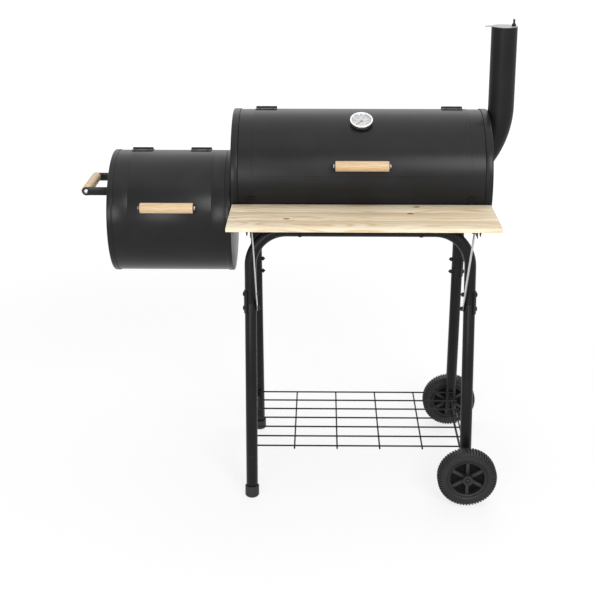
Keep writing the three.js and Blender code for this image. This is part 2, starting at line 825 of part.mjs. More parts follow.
function archKnots(side) {
  const up = legDirection(side);
  const top = new THREE.Vector3(0, side * frame.runOffset, frame.runHeight);
  const inPlane = (x, drop) => top.clone().addScaledVector(up, -drop).setX(x);
  const corner = frame.halfWidth - frame.bendRadius;
  const bend = (end, i) => {
    const a = (i * quarterTurn) / frame.bendSteps;
    return inPlane(end * (corner + frame.bendRadius * Math.sin(a)), frame.bendRadius * (1 - Math.cos(a)));
  };
  const quarter = Array.from({ length: frame.bendSteps + 1 }, (_, i) => i);
  const seam = frame.seam + seatGap;
  return [legPoint(-frame.halfWidth, side, seam), ...quarter.map((i) => bend(-1, frame.bendSteps - i)),
    ...quarter.map((i) => bend(1, i)),
    legPoint(frame.halfWidth, side, seam)];
}

const jointBolt = (x, side, z) => rodX(joint.holeRadius, ample * frame.tubeRadius).translate(x,
  legPoint(x, side, z).y, z);

// Saddle bolts run from the tube into the drum, with a spacer between them
function saddleBolt(x, side) {
  const outward = new THREE.Vector3(0, side * frame.runOffset, frame.runHeight - drum.axisHeight);
  const reach = outward.length();
  const place = new THREE.Vector3(x, 0, drum.axisHeight);
  const bore = (drum.radius - sheet) * facetInset - seatGap;
  const headSeat = reach + frame.tubeRadius - frame.tubeWall / 2;
  const spacer = [[0, drum.radius + seatGap], [saddle.radius, drum.radius + seatGap],
    [saddle.radius, reach], [0, reach]];
  const nutEnd = bore - joint.nutHeight;
  const headEnd = reach + frame.tubeRadius + joint.headHeight;
  const shank = [[0, nutEnd], [joint.nutRadius, nutEnd], [joint.nutRadius, bore], [joint.boltRadius, bore],
    [joint.boltRadius, headSeat], [joint.headRadius, headSeat],
      [joint.headRadius * joint.headTopShare, headEnd], [0, headEnd]];
  return [aim(turn(spacer, boltFacets), place, outward), aim(turn(shank, boltFacets), place, outward)];
}

function archGeometry(side) {
  const bolts = [-frame.saddleAt, frame.saddleAt].flatMap((x) => saddleBolt(x, side));
  const tube = tubeAlong(archKnots(side), frame.tubeRadius, frame.tubeRadius - frame.tubeWall, tubeFacets,
    boreFacets);
  const holes = [-1, 1].map((end) => jointBolt(end * frame.halfWidth, side, joint.upper));
  return join(cut(tube, ...holes), ...bolts);
}

function legGeometry(end, side) {
  const low = end < 0 ? foot.floor + seatGap : wheelHeight - frame.axleEndDrop;
  const x = end * frame.halfWidth;
  const knots = [legPoint(x, side, low), legPoint(x, side, frame.seam - seatGap)];
  const tools = [jointBolt(x, side, joint.lower)];
  if (end > 0) tools.push(rodY(axle.bore, ample * frame.tubeRadius).translate(x,
    legPoint(x, side, wheelHeight).y, wheelHeight));
  const tube = tubeAlong(knots, frame.tubeRadius, frame.tubeRadius - frame.tubeWall, tubeFacets,
    boreFacets);
  return join(cut(tube, ...tools), rackBolt(x, side));
}

function splicePlate(end, side) {
  const inner = frame.tubeRadius + seatGap;
  const centre = end < 0 ? Math.PI : 0;
  const spread = rad(joint.plateSpread);
  const arc = [];
  for (let i = 0; i <= joint.plateSteps; i += 1) {
    arc.push(centre - spread + (2 * spread * i) / joint.plateSteps);
  }
  const at = (radius, a) => new THREE.Vector2(radius * Math.cos(a), radius * Math.sin(a));
  const outline = [...arc.map((a) => at(inner + joint.plateSheet, a)),
    ...arc.reverse().map((a) => at(inner, a))];
  const length = joint.plateHigh - joint.plateLow;
  const plate = extrude(new THREE.Shape(outline), length).translate(0, 0,
    -length / 2).rotateX(-quarterTurn);
  return aim(plate, legPoint(end * frame.halfWidth, side, (joint.plateHigh + joint.plateLow) / 2),
    legDirection(side));
}

// A joint bolt: head outside the plate, shank through the tube, nut with a domed end inside
function jointBoltGeometry(end, side, z, inset) {
  const x = end * frame.halfWidth;
  const outer = frame.tubeRadius + joint.plateSheet;
  const seat = -frame.tubeRadius - seatGap - inset;
  const profile = [[0, seat - joint.nutHeight - joint.tipLength],
    [joint.boltRadius, seat - joint.nutHeight],
    [joint.nutRadius, seat - joint.nutHeight], [joint.nutRadius, seat], [joint.boltRadius, seat],
      [joint.boltRadius, outer],
    [joint.headRadius, outer], [joint.headRadius * joint.headTopShare, outer + joint.headHeight],
      [0, outer + joint.headHeight]];
  return aim(turn(profile, boltFacets), legPoint(x, side, z), new THREE.Vector3(end, 0, 0));
}

function footCapGeometry(side) {
  const base = legPoint(-frame.halfWidth, side, 0);
  const inner = frame.tubeRadius + foot.recessGap;
  const profile = [[0, -foot.floor], [foot.radius, -foot.floor], [foot.radius, foot.height],
    [inner, foot.height],
    [inner, foot.floor], [0, foot.floor]];
  const floor = block(ample * foot.radius, ample * foot.radius, overrun).translate(base.x, base.y,
    -overrun / 2);
  return cut(aim(turn(profile, tubeFacets), base, legDirection(side)), floor);
}

// The rack's tabs stand against the legs' inner faces
const rackTabFace = legPoint(0, 1, rack.height).y - frame.tubeRadius / Math.cos(lean) - seatGap;

// The rack's fixing bolt goes through the leg along Y, with its nut behind the rack's tab
function rackBolt(x, side) {
  const place = legPoint(x, side, rack.boltHeight);
  const seat = frame.tubeRadius - frame.tubeWall / 2;
  const tabBack = rackTabFace - rack.tabSheet - seatGap - Math.abs(place.y);
  const profile = [[0, tabBack - joint.nutHeight], [joint.nutRadius, tabBack - joint.nutHeight],
    [joint.nutRadius, tabBack],
    [joint.boltRadius, tabBack], [joint.boltRadius, seat], [joint.headRadius, seat],
    [joint.headRadius * joint.headTopShare, frame.tubeRadius + joint.headHeight],
      [0, frame.tubeRadius + joint.headHeight]];
  return aim(turn(profile, boltFacets), place, new THREE.Vector3(0, side, 0));
}

const wheelHeight = wheel.radius * Math.cos(Math.PI / wheel.facets);
const wheelInner = legPoint(0, 1, wheelHeight - wheel.bossRadius).y + frame.tubeRadius / Math.cos(lean) +
  runGap;
const wheelOffset = wheelInner + wheel.bossHalf;

function buildFrame() {
  for (const side of [-1, 1]) {
    add(root, named(sideName(side) + '_arch', archGeometry(side), gloss));
    for (const end of [-1, 1]) {
      const label = sideName(side) + '_' + endName(end);
      const inset = side < 0 ? strut.thickness + seatGap : 0;
      const bolts = [jointBoltGeometry(end, side, joint.upper, 0),
        jointBoltGeometry(end, side, joint.lower, inset)];
      add(root, named(label + '_leg', legGeometry(end, side), gloss));
      add(root, named(label + '_splice', join(splicePlate(end, side), ...bolts), gloss));
    }
    add(root, named(sideName(side) + '_foot', footCapGeometry(side), plastic));
  }
}

// Wheels: a tyre with a recessed web, raised spokes and a boss; the axle lies along Y
function wheelGeometry() {
  const w = wheel;
  const half = w.width / 2;
  const edge = w.radius - w.shoulder;
  const side = [[w.bossRadius, w.bossHalf], [w.bossRadius, w.webHalf], [w.hubRadius, w.webHalf],
    [w.lipRadius, w.lipHalf],
    [w.lipRadius + w.shoulder / 2, w.lipHalf], [edge, half], [w.radius, half - w.shoulder]].map(([r, y]) =>
      [r, -y]);
  const other = side.map(([r, y]) => [r, -y]).reverse();
  const body = turn([[axle.bore, -w.bossHalf], ...side, ...other, [axle.bore, w.bossHalf]], w.facets);
  const length = w.hubRadius - w.bossRadius + w.shoulder;
  const reach = (w.hubRadius + w.bossRadius) / 2;
  const spokes = Array.from({ length: w.spokes }, (_, i) =>
    block(w.spokeWidth, 2 * w.spokeHalf, length).translate(0, 0,
      reach).rotateY((i * 2 * Math.PI) / w.spokes));
  return join(body.rotateY(Math.PI / w.facets), ...spokes);
}

function axleGeometry() {
  const tip = wheelOffset + wheel.bossHalf + runGap;
  const profile = [[0, -tip - axle.headHeight],
    [axle.headRadius * axle.headTopShare, -tip - axle.headHeight], [axle.headRadius, -tip],
    [axle.radius, -tip], [axle.radius, tip + axle.nutHeight], [0, tip + axle.nutHeight]];
  return turn(profile, boltFacets);
}

function axleNutGeometry() {
  const bore = axle.radius + seatGap;
  const profile = [[bore, 0], [axle.nutRadius, 0], [axle.nutRadius, axle.nutHeight],
    [bore, axle.nutHeight]];
  return turn(profile, tubeFacets);
}

function buildWheels() {
  for (const side of [-1, 1]) {
    const mesh = named(sideName(side) + '_wheel', wheelGeometry(), plastic);
    mesh.position.set(frame.halfWidth, side * wheelOffset, wheelHeight);
    add(root, mesh);
  }
  const shaft = named('axle', axleGeometry(), gloss);
  shaft.position.set(frame.halfWidth, 0, wheelHeight);
  const nut = named('axle_nut', axleNutGeometry(), gloss);
  nut.position.set(frame.halfWidth, wheelOffset + wheel.bossHalf + runGap, wheelHeight);
  add(root, shaft, nut);
}

// Bottom rack: wires along X over cross wires, with a tab at each leg
function rackWires(halfDepth) {
  const wires = [];
  for (let i = 0; i < rack.rods; i += 1) {
    const y = -halfDepth + (2 * halfDepth * i) / (rack.rods - 1);
    wires.push(rodX(rack.wireRadius, rack.length, wireFacets).translate(0, y, 0));
  }
  const under = -2 * rack.wireRadius + rack.weld;
  const cross = (x, half) => rodY(rack.wireRadius, 2 * half, wireFacets).translate(x, 0, under);
  const end = rack.length / 2 - rack.endInset;
  for (const side of [-1, 1]) {
    for (const share of rack.crossShares) wires.push(cross(side * share * end, halfDepth + rack.tipReach));
    wires.push(cross(side * end, halfDepth));
  }
  return wires;
}

function buildRack() {
  const halfDepth = rackTabFace - rack.tabSheet + rack.weld - rack.wireRadius;
  const pieces = rackWires(halfDepth);
  const holes = [];
  for (const side of [-1, 1]) {
    const y = side * (rackTabFace - rack.tabSheet / 2);
    for (const x of [-frame.halfWidth, frame.halfWidth]) {
      pieces.push(block(rack.tabWidth, rack.tabSheet, rack.tabDrop).translate(x, y, -rack.tabDrop / 2));
      holes.push(rodY(joint.holeRadius, overrun).translate(x, y, rack.boltHeight - rack.height));
    }
  }
  const mesh = named('bottom_rack', cut(join(...pieces), ...holes), gloss);
  mesh.position.z = rack.height;
  add(root, mesh);
}

// Shelf: boards on two angle arms that hang from the drum, each with a flat strut to the leg
function boardGeometry(width) {
  const [w, h, e] = [width / 2, shelf.thickness / 2, shelf.edge];
  const outline = [[-w + e, -h], [w - e, -h], [w, e - h], [w, h - e], [w - e, h], [e - w, h], [-w, h - e],
    [-w, e - h]];
  return pushX(new THREE.Shape(outline.map(([y, z]) => new THREE.Vector2(y, z))), shelf.length);
}

const boardWidth = (shelf.depth - (shelf.boards - 1) * shelf.seam) / shelf.boards;
const boardMiddle = (board) => -shelf.front + boardWidth / 2 + board * (boardWidth + shelf.seam);

// The arm's web stands just outside the strut, which lies against the leg's inner side
const armFace = frame.halfWidth - frame.tubeRadius;

function armGeometry(end) {
  const back = drum.radius + 2 * seatGap;
  const frontY = shelf.armSetback - shelf.front;
  const [length, middle] = [-frontY - drum.radius / 2, (frontY - drum.radius / 2) / 2];
  const top = shelf.top - shelf.thickness - seatGap;
  const webX = end * (armFace + shelf.armSheet / 2);
  const flatX = end * (armFace + shelf.armWidth / 2);
  const flat = block(shelf.armWidth, length, shelf.armSheet).translate(flatX, middle,
    top - shelf.armSheet / 2);
  const web = block(shelf.armSheet, length, shelf.armDrop).translate(webX, middle, top - shelf.armDrop / 2);
  const strip = bandShape(back, back + shelf.footSheet, shelf.footLow, shelf.footHigh);
  const foothold = pushX(strip, shelf.armWidth, flatX).translate(0, 0, drum.axisHeight);
  const drumTool = pushX(ringShape(back, 0, barrelFacets), 2 * armFace, webX).translate(0, 0,
    drum.axisHeight);
  return join(cut(join(flat, web), drumTool), foothold);
}

function boardScrew(end, board) {
  const place = new THREE.Vector3(end * (armFace + shelf.armWidth / 2), boardMiddle(board),
    shelf.top - shelf.thickness - seatGap - shelf.armSheet);
  const profile = [[0, -shelf.armSheet / 2], [joint.boltRadius, -shelf.armSheet / 2], [joint.boltRadius, 0],
    [joint.nutRadius, 0], [joint.nutRadius, joint.nutHeight], [joint.boltRadius, joint.nutHeight],
    [0, shelf.boltDrop]];
  return aim(turn(profile, boltFacets), place, new THREE.Vector3(0, 0, -1));
}

function strutGeometry(end) {
  const low = legPoint(0, -1, joint.lower);
  const high = new THREE.Vector3(0, -strut.topOffset, strut.topHeight);
  const span = high.clone().sub(low);
  const length = span.length();
  const half = strut.width / 2;
  const outline = new THREE.Shape();
  outline.absarc(0, 0, half, Math.PI, 2 * Math.PI);
  outline.absarc(0, length, half, 0, Math.PI);
  const bar = pushX(new THREE.Shape(outline.getPoints(roundSteps)), strut.thickness);
  const holes = [0, length].map((z) => rodX(joint.holeRadius, overrun).translate(0, 0, z));
  const x = end * (frame.halfWidth - frame.tubeRadius - seatGap - strut.thickness / 2);
  return cut(bar, ...holes).rotateX(Math.atan2(-span.y, span.z)).translate(x, low.y, low.z);
}

function strutBolt(end) {
  const place = new THREE.Vector3(0, -strut.topOffset, strut.topHeight);
  const back = armFace - 2 * seatGap - strut.thickness;
  const front = armFace + shelf.armSheet;
  const profile = [[0, back - joint.headHeight], [joint.nutRadius, back - joint.headHeight],
    [joint.nutRadius, back],
    [joint.boltRadius, back], [joint.boltRadius, front], [joint.headRadius, front],
    [joint.headRadius * joint.headTopShare, front + joint.headHeight], [0, front + joint.headHeight]];
  return aim(turn(profile, boltFacets), place, new THREE.Vector3(end, 0, 0));
}

function buildShelf() {
  const boards = Array.from({ length: shelf.boards }, (_, i) => i);
  for (const i of boards) {
    const board = named('shelf_board_' + (i + 1), boardGeometry(boardWidth), pine);
    board.position.set(0, boardMiddle(i), shelf.top - shelf.thickness / 2);
    add(root, board);
  }
  for (const end of [-1, 1]) {
    const screws = boards.map((i) => boardScrew(end, i));
    const arm = join(armGeometry(end), strutBolt(end), ...screws);
    add(root, named('shelf_arm_' + endName(end), arm, gloss));
    add(root, named('shelf_strut_' + endName(end), strutGeometry(end), bareSteel));
  }
}

// Grates lie wedged in the barrel's curve: the wider the grate, the higher it sits
function grateGeometry(length, half, pitch) {
  const { frame: f, rod } = grate;
  const pieces = [];
  for (const side of [-1, 1]) {
    pieces.push(block(length, f, f).translate(0, side * (half - f / 2), 0));
    pieces.push(block(f, 2 * half, f).translate(side * (length / 2 - f / 2), 0, 0));
  }
  const count = Math.floor((length - 2 * f) / pitch);
  for (let i = 1; i <= count; i += 1) {
    const x = -length / 2 + (length * i) / (count + 1);
    pieces.push(block(rod, 2 * half - f, rod).translate(x, 0, 0));
  }
  return join(...pieces);
}

const grateLevel = (barrel, half) => {
  const inner = (barrel.radius - sheet - seatGap) * Math.cos(rad(facetTurn / 2));
  return -Math.sqrt(inner ** 2 - half ** 2) + grate.frame / 2;
};

function buildGrates() {
  for (const end of [-1, 1]) {
    const cook = named('cooking_grate_' + endName(end),
      grateGeometry(grate.cookLength, grate.cookHalf, grate.cookPitch), bareSteel);
    cook.position.set((end * (grate.cookLength + grate.cookSplit)) / 2, 0,
      grateLevel(drum, grate.cookHalf));
    add(drumFrame, cook);
  }
  const coal = named('charcoal_grate', grateGeometry(grate.coalLength, grate.coalHalf, grate.coalPitch),
    gloss);
  coal.position.z = grateLevel(drum, grate.coalHalf);
  add(drumFrame, coal);
  const fire = named('firebox_grate', grateGeometry(grate.fireLength, grate.fireHalf, grate.firePitch),
    gloss);
  fire.position.z = grateLevel(firebox, grate.fireHalf);
  add(fireboxFrame, fire);
}

buildDrum();
buildFirebox();
buildVent();
buildDial(buildLid(drum, drumFrame, [dialHole()]));
buildLid(firebox, fireboxFrame, []);
buildSideHandle();
buildChimney();
buildFrame();
buildWheels();
buildRack();
buildShelf();
buildGrates();

// The part's origin is the middle of its footprint on the floor
const bounds = new THREE.Box3().setFromObject(root);
const middle = bounds.getCenter(new THREE.Vector3());
root.position.set(-middle.x, -middle.y, -bounds.min.z);

export default root;
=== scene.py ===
"""The looks of an offset smoker: a drum on a tube frame, a side firebox and a bent chimney.

Everything is in metres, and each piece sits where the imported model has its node.
"""
import logging
import math
from dataclasses import dataclass
from enum import Enum
from functools import cached_property
from typing import Iterable, Optional, Sequence, Union

import bmesh
import bpy
from mathutils import Matrix, Vector


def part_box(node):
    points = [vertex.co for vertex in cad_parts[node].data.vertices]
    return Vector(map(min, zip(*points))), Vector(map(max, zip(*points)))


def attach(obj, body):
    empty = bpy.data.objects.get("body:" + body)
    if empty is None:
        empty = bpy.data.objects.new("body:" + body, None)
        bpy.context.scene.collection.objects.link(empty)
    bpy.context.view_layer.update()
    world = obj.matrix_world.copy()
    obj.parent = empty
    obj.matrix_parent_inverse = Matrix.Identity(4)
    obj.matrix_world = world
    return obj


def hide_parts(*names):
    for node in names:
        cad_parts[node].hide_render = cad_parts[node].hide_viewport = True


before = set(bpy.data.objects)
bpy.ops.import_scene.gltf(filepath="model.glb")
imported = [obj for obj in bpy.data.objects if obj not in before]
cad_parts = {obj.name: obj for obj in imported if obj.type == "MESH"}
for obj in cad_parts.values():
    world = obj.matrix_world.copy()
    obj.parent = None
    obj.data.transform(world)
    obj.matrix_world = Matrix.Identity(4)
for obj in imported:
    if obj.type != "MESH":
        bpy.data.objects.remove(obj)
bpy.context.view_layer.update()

LOG = logging.getLogger("smoker")

Point = Union[Vector, tuple[float, float, float]]
Pair = tuple[float, float]
Profile = Sequence[Pair]
Colour = tuple[float, float, float]
Edges = list[bmesh.types.BMEdge]

RIGHT = Vector((1.0, 0.0, 0.0))
BACK = Vector((0.0, 1.0, 0.0))
UP = Vector((0.0, 0.0, 1.0))

GAP = 0.0003        # play between pieces that touch
EDGE = 0.0004       # rounding of a cut edge
FINE_EDGE = 0.0003  # rounding of a thin strip's edge
TUBE_EDGE = 0.0006  # rounding of a tube's end


class Body(Enum):
    """The moving bodies of the model."""

    CART = "cart"
    DRUM_LID = "drum_lid"
    FIREBOX_LID = "firebox_lid"
    DAMPER = "chimney_damper"
    VENT = "air_vent"
    POINTER = "pointer"
    FRONT_WHEEL = "front_wheel_body"
    REAR_WHEEL = "rear_wheel_body"


class Slot(Enum):
    """The record's material slots, one named on each finish."""

    PAINT = "paint"
    GLOSS = "gloss"
    STEEL = "steel"
    CHROME = "chrome"
    PLASTIC = "plastic"
    PINE = "pine"
    TURNED_WOOD = "turned_wood"
    GLASS = "glass"
    POINTER = "pointer"


class Way(Enum):
    """One of two opposite ways across the cart."""

    @property
    def label(self) -> str:
        """The word used in node names."""
        return self.name.lower()


class Side(Way):
    """Front or rear of the cart, along Y."""

    FRONT = -1
    REAR = 1


class End(Way):
    """Left or right end of the cart, along X."""

    LEFT = -1
    RIGHT = 1


def cart_offset() -> Vector:
    """The drum's middle over the floor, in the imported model's frame."""
    low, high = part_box("drum_shell")
    return Vector(((low.x + high.x) / 2, (low.y + high.y) / 2, 0.0))


OFFSET = cart_offset()


def own_box(node: str) -> tuple[Vector, Vector]:
    """A node's lowest and highest corners, from the drum's middle on the floor."""
    low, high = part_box(node)
    return low - OFFSET, high - OFFSET


def moved(x: float, y: float, z: float) -> Matrix:
    """A matrix that only moves."""
    return Matrix.Translation((x, y, z))


def frame_on(x_axis: Point, y_axis: Point, z_axis: Point, place: Point) -> Matrix:
    """A matrix from where its three axes point and where its origin lies."""
    columns = [(*axis, 0.0) for axis in (x_axis, y_axis, z_axis)]
    return Matrix([*columns, (*place, 1.0)]).transposed()


def aim(place: Point, direction: Point) -> Matrix:
    """A matrix whose local Z points along a direction."""
    turn = Vector(direction).normalized().to_track_quat("Z", "Y")
    return Matrix.Translation(Vector(place)) @ turn.to_matrix().to_4x4()


def only(kind: type, geometry: Iterable) -> list:
    """The elements of one kind."""
    return [g for g in geometry if isinstance(g, kind)]


def mirrored(profile: Profile) -> Profile:
    """A profile carried on by its mirror image at negative heights."""
    return [*profile, *[(r, -z) for r, z in reversed(profile)]]


def arc(centre: Pair, radius: float, start: float, stop: float, steps: int) -> Profile:
    """Points on an arc between two angles in degrees, both ends included."""
    turns = [math.radians(start + (stop - start) * i / steps) for i in range(steps + 1)]
    return [(centre[0] + radius * math.cos(t), centre[1] + radius * math.sin(t)) for t in turns]


def crown(radius: float, base: float, rise: float) -> Profile:
    """The upper part of a dome's profile."""
    return [(radius * math.cos(a), base + rise * math.sin(a)) for a in (0.35, 0.7, 1.05, 1.35)]


class Outline:
    """Flat outlines in a local XY plane, anticlockwise."""

    @staticmethod
    def rounded(width: float, height: float, corner: float, steps: int,
                top: Optional[float] = None) -> Profile:
        """A rectangle with rounded corners.

        Args:
            width: Its size along X.
            height: Its size along Y.
            corner: The corners' radius.
            steps: Steps in each corner.
            top: The radius of the upper corners, where it differs.

        Returns:
            The outline, from the lower left corner.
        """
        points = []
        for sx, sy, first in ((-1, -1, 180), (1, -1, 270), (1, 1, 0), (-1, 1, 90)):
            r = corner if sy < 0 or top is None else top
            points += arc((sx * (width / 2 - r), sy * (height / 2 - r)), r, first, first + 90, steps)
        return points

    @staticmethod
    def tongue(length: float, radius: float, steps: int = 12, both: bool = False) -> Profile:
        """A strip along Y with a round end, or with a round foot as well."""
        foot = arc((0, 0), radius, 180, 360, steps) if both else [(-radius, 0.0), (radius, 0.0)]
        return [*arc((0, length), radius, 0, 180, steps), *foot]

    @staticmethod
    def hexagon(across: float) -> Profile:
        """A hexagon by its width across flats."""
        return arc((0, 0), across / math.sqrt(3), 0, 300, 5)


@dataclass(frozen=True)
class Bend:
    """A bend in a tube."""

    centre: Point
    axis: Point
    angle: float = math.pi / 2
    steps: int = 14


class Form:
    """A mesh in the making, in the cart's own frame, built with bmesh operators."""

    def __init__(self) -> None:
        """Starts an empty mesh."""
        self.bm = bmesh.new()

    @staticmethod
    def island(seed: bmesh.types.BMVert) -> set[bmesh.types.BMVert]:
        """Finds what hangs together.

        Args:
            seed: One vertex.

        Returns:
            That vertex and all that are joined to it.
        """
        found, queue = {seed}, [seed]
        while queue:
            fresh = {v for e in queue.pop().link_edges for v in e.verts} - found
            found |= fresh
            queue.extend(fresh)
        return found

    def ease(self, edges: Edges, width: float) -> list[bmesh.types.BMVert]:
        """Rounds edges off and returns the new vertices."""
        return bmesh.ops.bevel(self.bm, geom=edges, offset=width, affect="EDGES", segments=2,
                               profile=0.5, material=-1)["verts"]

    def rod(self, start: Point, end: Point, radius: float, sides: int = 14, edge: float = 0.0) -> None:
        """Adds a straight round bar.

        Args:
            start: Centre of one end.
            end: Centre of the other end.
            radius: Its radius.
            sides: Facets round it.
            edge: Rounding of the two end edges.
        """
        start, end = Vector(start), Vector(end)
        span = end - start
        place = aim((start + end) / 2, span)
        made = bmesh.ops.create_cone(self.bm, cap_ends=True, segments=sides, radius1=radius,
                                     radius2=radius, depth=span.length, matrix=place)
        if edge > 0:
            verts = set(made["verts"])
            self.ease([e for e in self.bm.edges
                       if e.verts[0] in verts and any(len(f.verts) > 4 for f in e.link_faces)], edge)

    def turned(self, profile: Profile, place: Matrix, steps: int) -> None:
        """Adds a turned piece.

        Args:
            profile: Radius and height pairs, closed on itself unless it ends on the axis.
            place: Where the turning axis, the local Z, stands.
            steps: Facets round it.
        """
        before = set(self.bm.verts)
        verts = [self.bm.verts.new((r, 0.0, h)) for r, h in profile]
        edges = [self.bm.edges.new(pair) for pair in zip(verts, verts[1:])]
        if profile[0][0] > 0 and profile[-1][0] > 0:
            edges.append(self.bm.edges.new((verts[-1], verts[0])))
        bmesh.ops.spin(self.bm, geom=verts + edges, cent=(0, 0, 0), axis=(0, 0, 1),
                       angle=2 * math.pi, steps=steps, use_merge=True, use_duplicate=False)
        made = [v for v in self.bm.verts if v not in before]
        bmesh.ops.remove_doubles(self.bm, verts=made, dist=1e-6)
        made = [v for v in self.bm.verts if v not in before]
        bmesh.ops.transform(self.bm, matrix=place, verts=made)

    def slab(self, outline: Profile, depth: float, place: Matrix, edge: float = 0.0) -> None:
        """Adds a plate cut from an outline.

        Args:
            outline: Corners in the local XY plane.
            depth: Thickness along the local Z.
            place: Where the plate stands.
            edge: Rounding of its edges.
        """
        face = self.bm.faces.new([self.bm.verts.new((x, y, 0.0)) for x, y in outline])
        grown = bmesh.ops.extrude_face_region(self.bm, geom=[face])["geom"]
        top = only(bmesh.types.BMVert, grown)
        bmesh.ops.translate(self.bm, vec=(0.0, 0.0, depth), verts=top)
        verts = self.island(top[0])
        if edge > 0:
            sharp = [e for e in self.bm.edges
                     if e.verts[0] in verts and e.calc_face_angle(0.0) > math.radians(25)]
            verts = self.island(self.ease(sharp, edge)[0])
        bmesh.ops.transform(self.bm, matrix=place, verts=list(verts))

    def block(self, size: Point, place: Matrix, edge: float = 0.0) -> None:
        """Adds a box with rounded edges, centred on its place."""
        w, d, h = (s / 2 for s in size)
        self.slab([(-w, -d), (w, -d), (w, d), (-w, d)], 2 * h, place @ moved(0.0, 0.0, -h), edge)

    def ring(self, place: Matrix, radius: float, sides: int) -> Edges:
        """Adds an open circle round the local Z and returns its edges."""
        made = bmesh.ops.create_circle(self.bm, segments=sides, radius=radius, matrix=place)["verts"]
        return [e for e in self.bm.edges if e.verts[0] in made]

    def push(self, edges: Edges, move: Point) -> Edges:
        """Draws a run of edges out along a vector.

        Args:
            edges: The run.
            move: The vector.

        Returns:
            The far edges.
        """
        grown = bmesh.ops.extrude_edge_only(self.bm, edges=edges)["geom"]
        fresh = set(only(bmesh.types.BMVert, grown))
        bmesh.ops.translate(self.bm, vec=Vector(move), verts=list(fresh))
        return [e for e in only(bmesh.types.BMEdge, grown) if fresh.issuperset(e.verts)]

    def tube(self, start: Matrix, radius: float, moves: Sequence[Union[Vector, Bend]], sides: int,
             closed: bool = True) -> None:
        """Adds a bent round tube.

        Args:
            start: Its first end, with its axis along the local Z.
            radius: Its radius.
            moves: A vector for each straight run, and its bends.
            sides: Facets round it.
            closed: Whether both ends are closed.
        """
        ring = self.ring(start, radius, sides)
        if closed:
            bmesh.ops.edgeloop_fill(self.bm, edges=ring)
        for move in moves:
            if isinstance(move, Bend):
                verts = list({v for e in ring for v in e.verts})
                made = bmesh.ops.spin(
                    self.bm, geom=verts + ring, cent=Vector(move.centre), axis=Vector(move.axis),
                    angle=move.angle, steps=move.steps, use_merge=False, use_duplicate=False)
                ring = only(bmesh.types.BMEdge, made["geom_last"])
            else:
                ring = self.push(ring, move)
        if closed:
            bmesh.ops.edgeloop_fill(self.bm, edges=ring)

    def cut(self, point: Point, normal: Point, keep: bool = True) -> Edges:
        """Cuts the mesh along a plane.

        Args:
            point: A point on the plane.
            normal: Its direction.
            keep: Whether what lies past the plane stays.

        Returns:
            The edges on the plane.
        """
        made = bmesh.ops.bisect_plane(
            self.bm, geom=self.bm.verts[:] + self.bm.edges[:] + self.bm.faces[:], plane_co=point,
            plane_no=normal, dist=1e-6, clear_outer=not keep)
        return only(bmesh.types.BMEdge, made["geom_cut"])

    def wire(self, points: Sequence[Point]) -> Edges:
        """Adds a closed loop of edges."""
        verts = [self.bm.verts.new(point) for point in points]
        return [self.bm.edges.new(pair) for pair in zip(verts, verts[1:] + verts[:1])]

    def fill(self, edges: Edges) -> None:
        """Fills the flat area between closed loops."""
        bmesh.ops.triangle_fill(self.bm, edges=edges, use_beauty=True, use_dissolve=False)

    def skirt(self, profile: Profile, place: Matrix, steps: int) -> Edges:
        """Adds an open turned sheet.

        Args:
            profile: Radius and height pairs.
            place: Where the turning axis, the local Z, stands.
            steps: Facets round it.

        Returns:
            The edges of its first ring.
        """
        first = ring = self.ring(place @ moved(0.0, 0.0, profile[0][1]), profile[0][0], steps)
        axis = place.col[2].to_3d()
        for (r0, h0), (r1, h1) in zip(profile, profile[1:]):
            ring = self.push(ring, axis * (h1 - h0))
            here = place.translation + axis * h1
            for vert in {v for e in ring for v in e.verts}:
                vert.co = here + (vert.co - here) * (r1 / r0)
        return first

    def face_outward(self, middle: Vector, along: bool) -> None:
        """Turns the faces of an open sheet outward.

        Args:
            middle: The point that they turn away from.
            along: Whether they look along X as well, and not only away from the X axis.
        """
        self.bm.normal_update()
        weights = Vector((float(along), 1.0, 1.0))
        wrong = [f for f in self.bm.faces
                 if f.normal.dot((f.calc_center_median() - middle) * weights) < 0]
        bmesh.ops.reverse_faces(self.bm, faces=wrong)

    def rolled(self, outline: Profile, radius: float, angle: float, centre: Vector,
               creases: Sequence[float] = (), depth: float = 0.0) -> None:
        """Adds a flat outline rolled onto a barrel.

        Args:
            outline: Corners, X along the barrel and Y upward along the curve.
            radius: The outer radius it is rolled to.
            angle: Where its origin lies, in radians from the front over the top.
            centre: The point on the barrel's axis beside its origin.
            creases: Places along X where the sheet is pressed in by a fine line.
            depth: Thickness, inward; 0 leaves an open sheet.
        """
        facet, crease_half, crease_depth = 2.0, 0.0012, 0.0005
        face = self.bm.faces.new([self.bm.verts.new((x, y, 0.0)) for x, y in outline])
        seed = face.verts[0]
        low, high = min(y for _, y in outline), max(y for _, y in outline)
        count = max(1, round(math.degrees((high - low) / radius) / facet))
        lines = [((0.0, low + (high - low) * i / count, 0.0), BACK) for i in range(1, count)]
        lines += [((crease + shift, 0.0, 0.0), RIGHT) for crease in creases
                  for shift in (-crease_half, 0.0, crease_half)]
        for point, normal in lines:
            verts = self.island(seed)
            around = {g for v in verts for g in (*v.link_edges, *v.link_faces)}
            bmesh.ops.bisect_plane(self.bm, geom=[*verts, *around], plane_co=point,
                                   plane_no=normal, dist=1e-7)
        verts = self.island(seed)
        for vert in verts:
            pressed = crease_depth * any(abs(vert.co.x - crease) < 1e-5 for crease in creases)
            a = angle + vert.co.y / radius
            out = Vector((0.0, -math.cos(a), math.sin(a)))
            vert.co = centre + RIGHT * vert.co.x + out * (radius - pressed)
        faces = list({f for v in verts for f in v.link_faces})
        self.bm.normal_update()
        if sum(f.normal.dot(f.calc_center_median() - centre) for f in faces) < 0:
            bmesh.ops.reverse_faces(self.bm, faces=faces)
        if depth > 0:
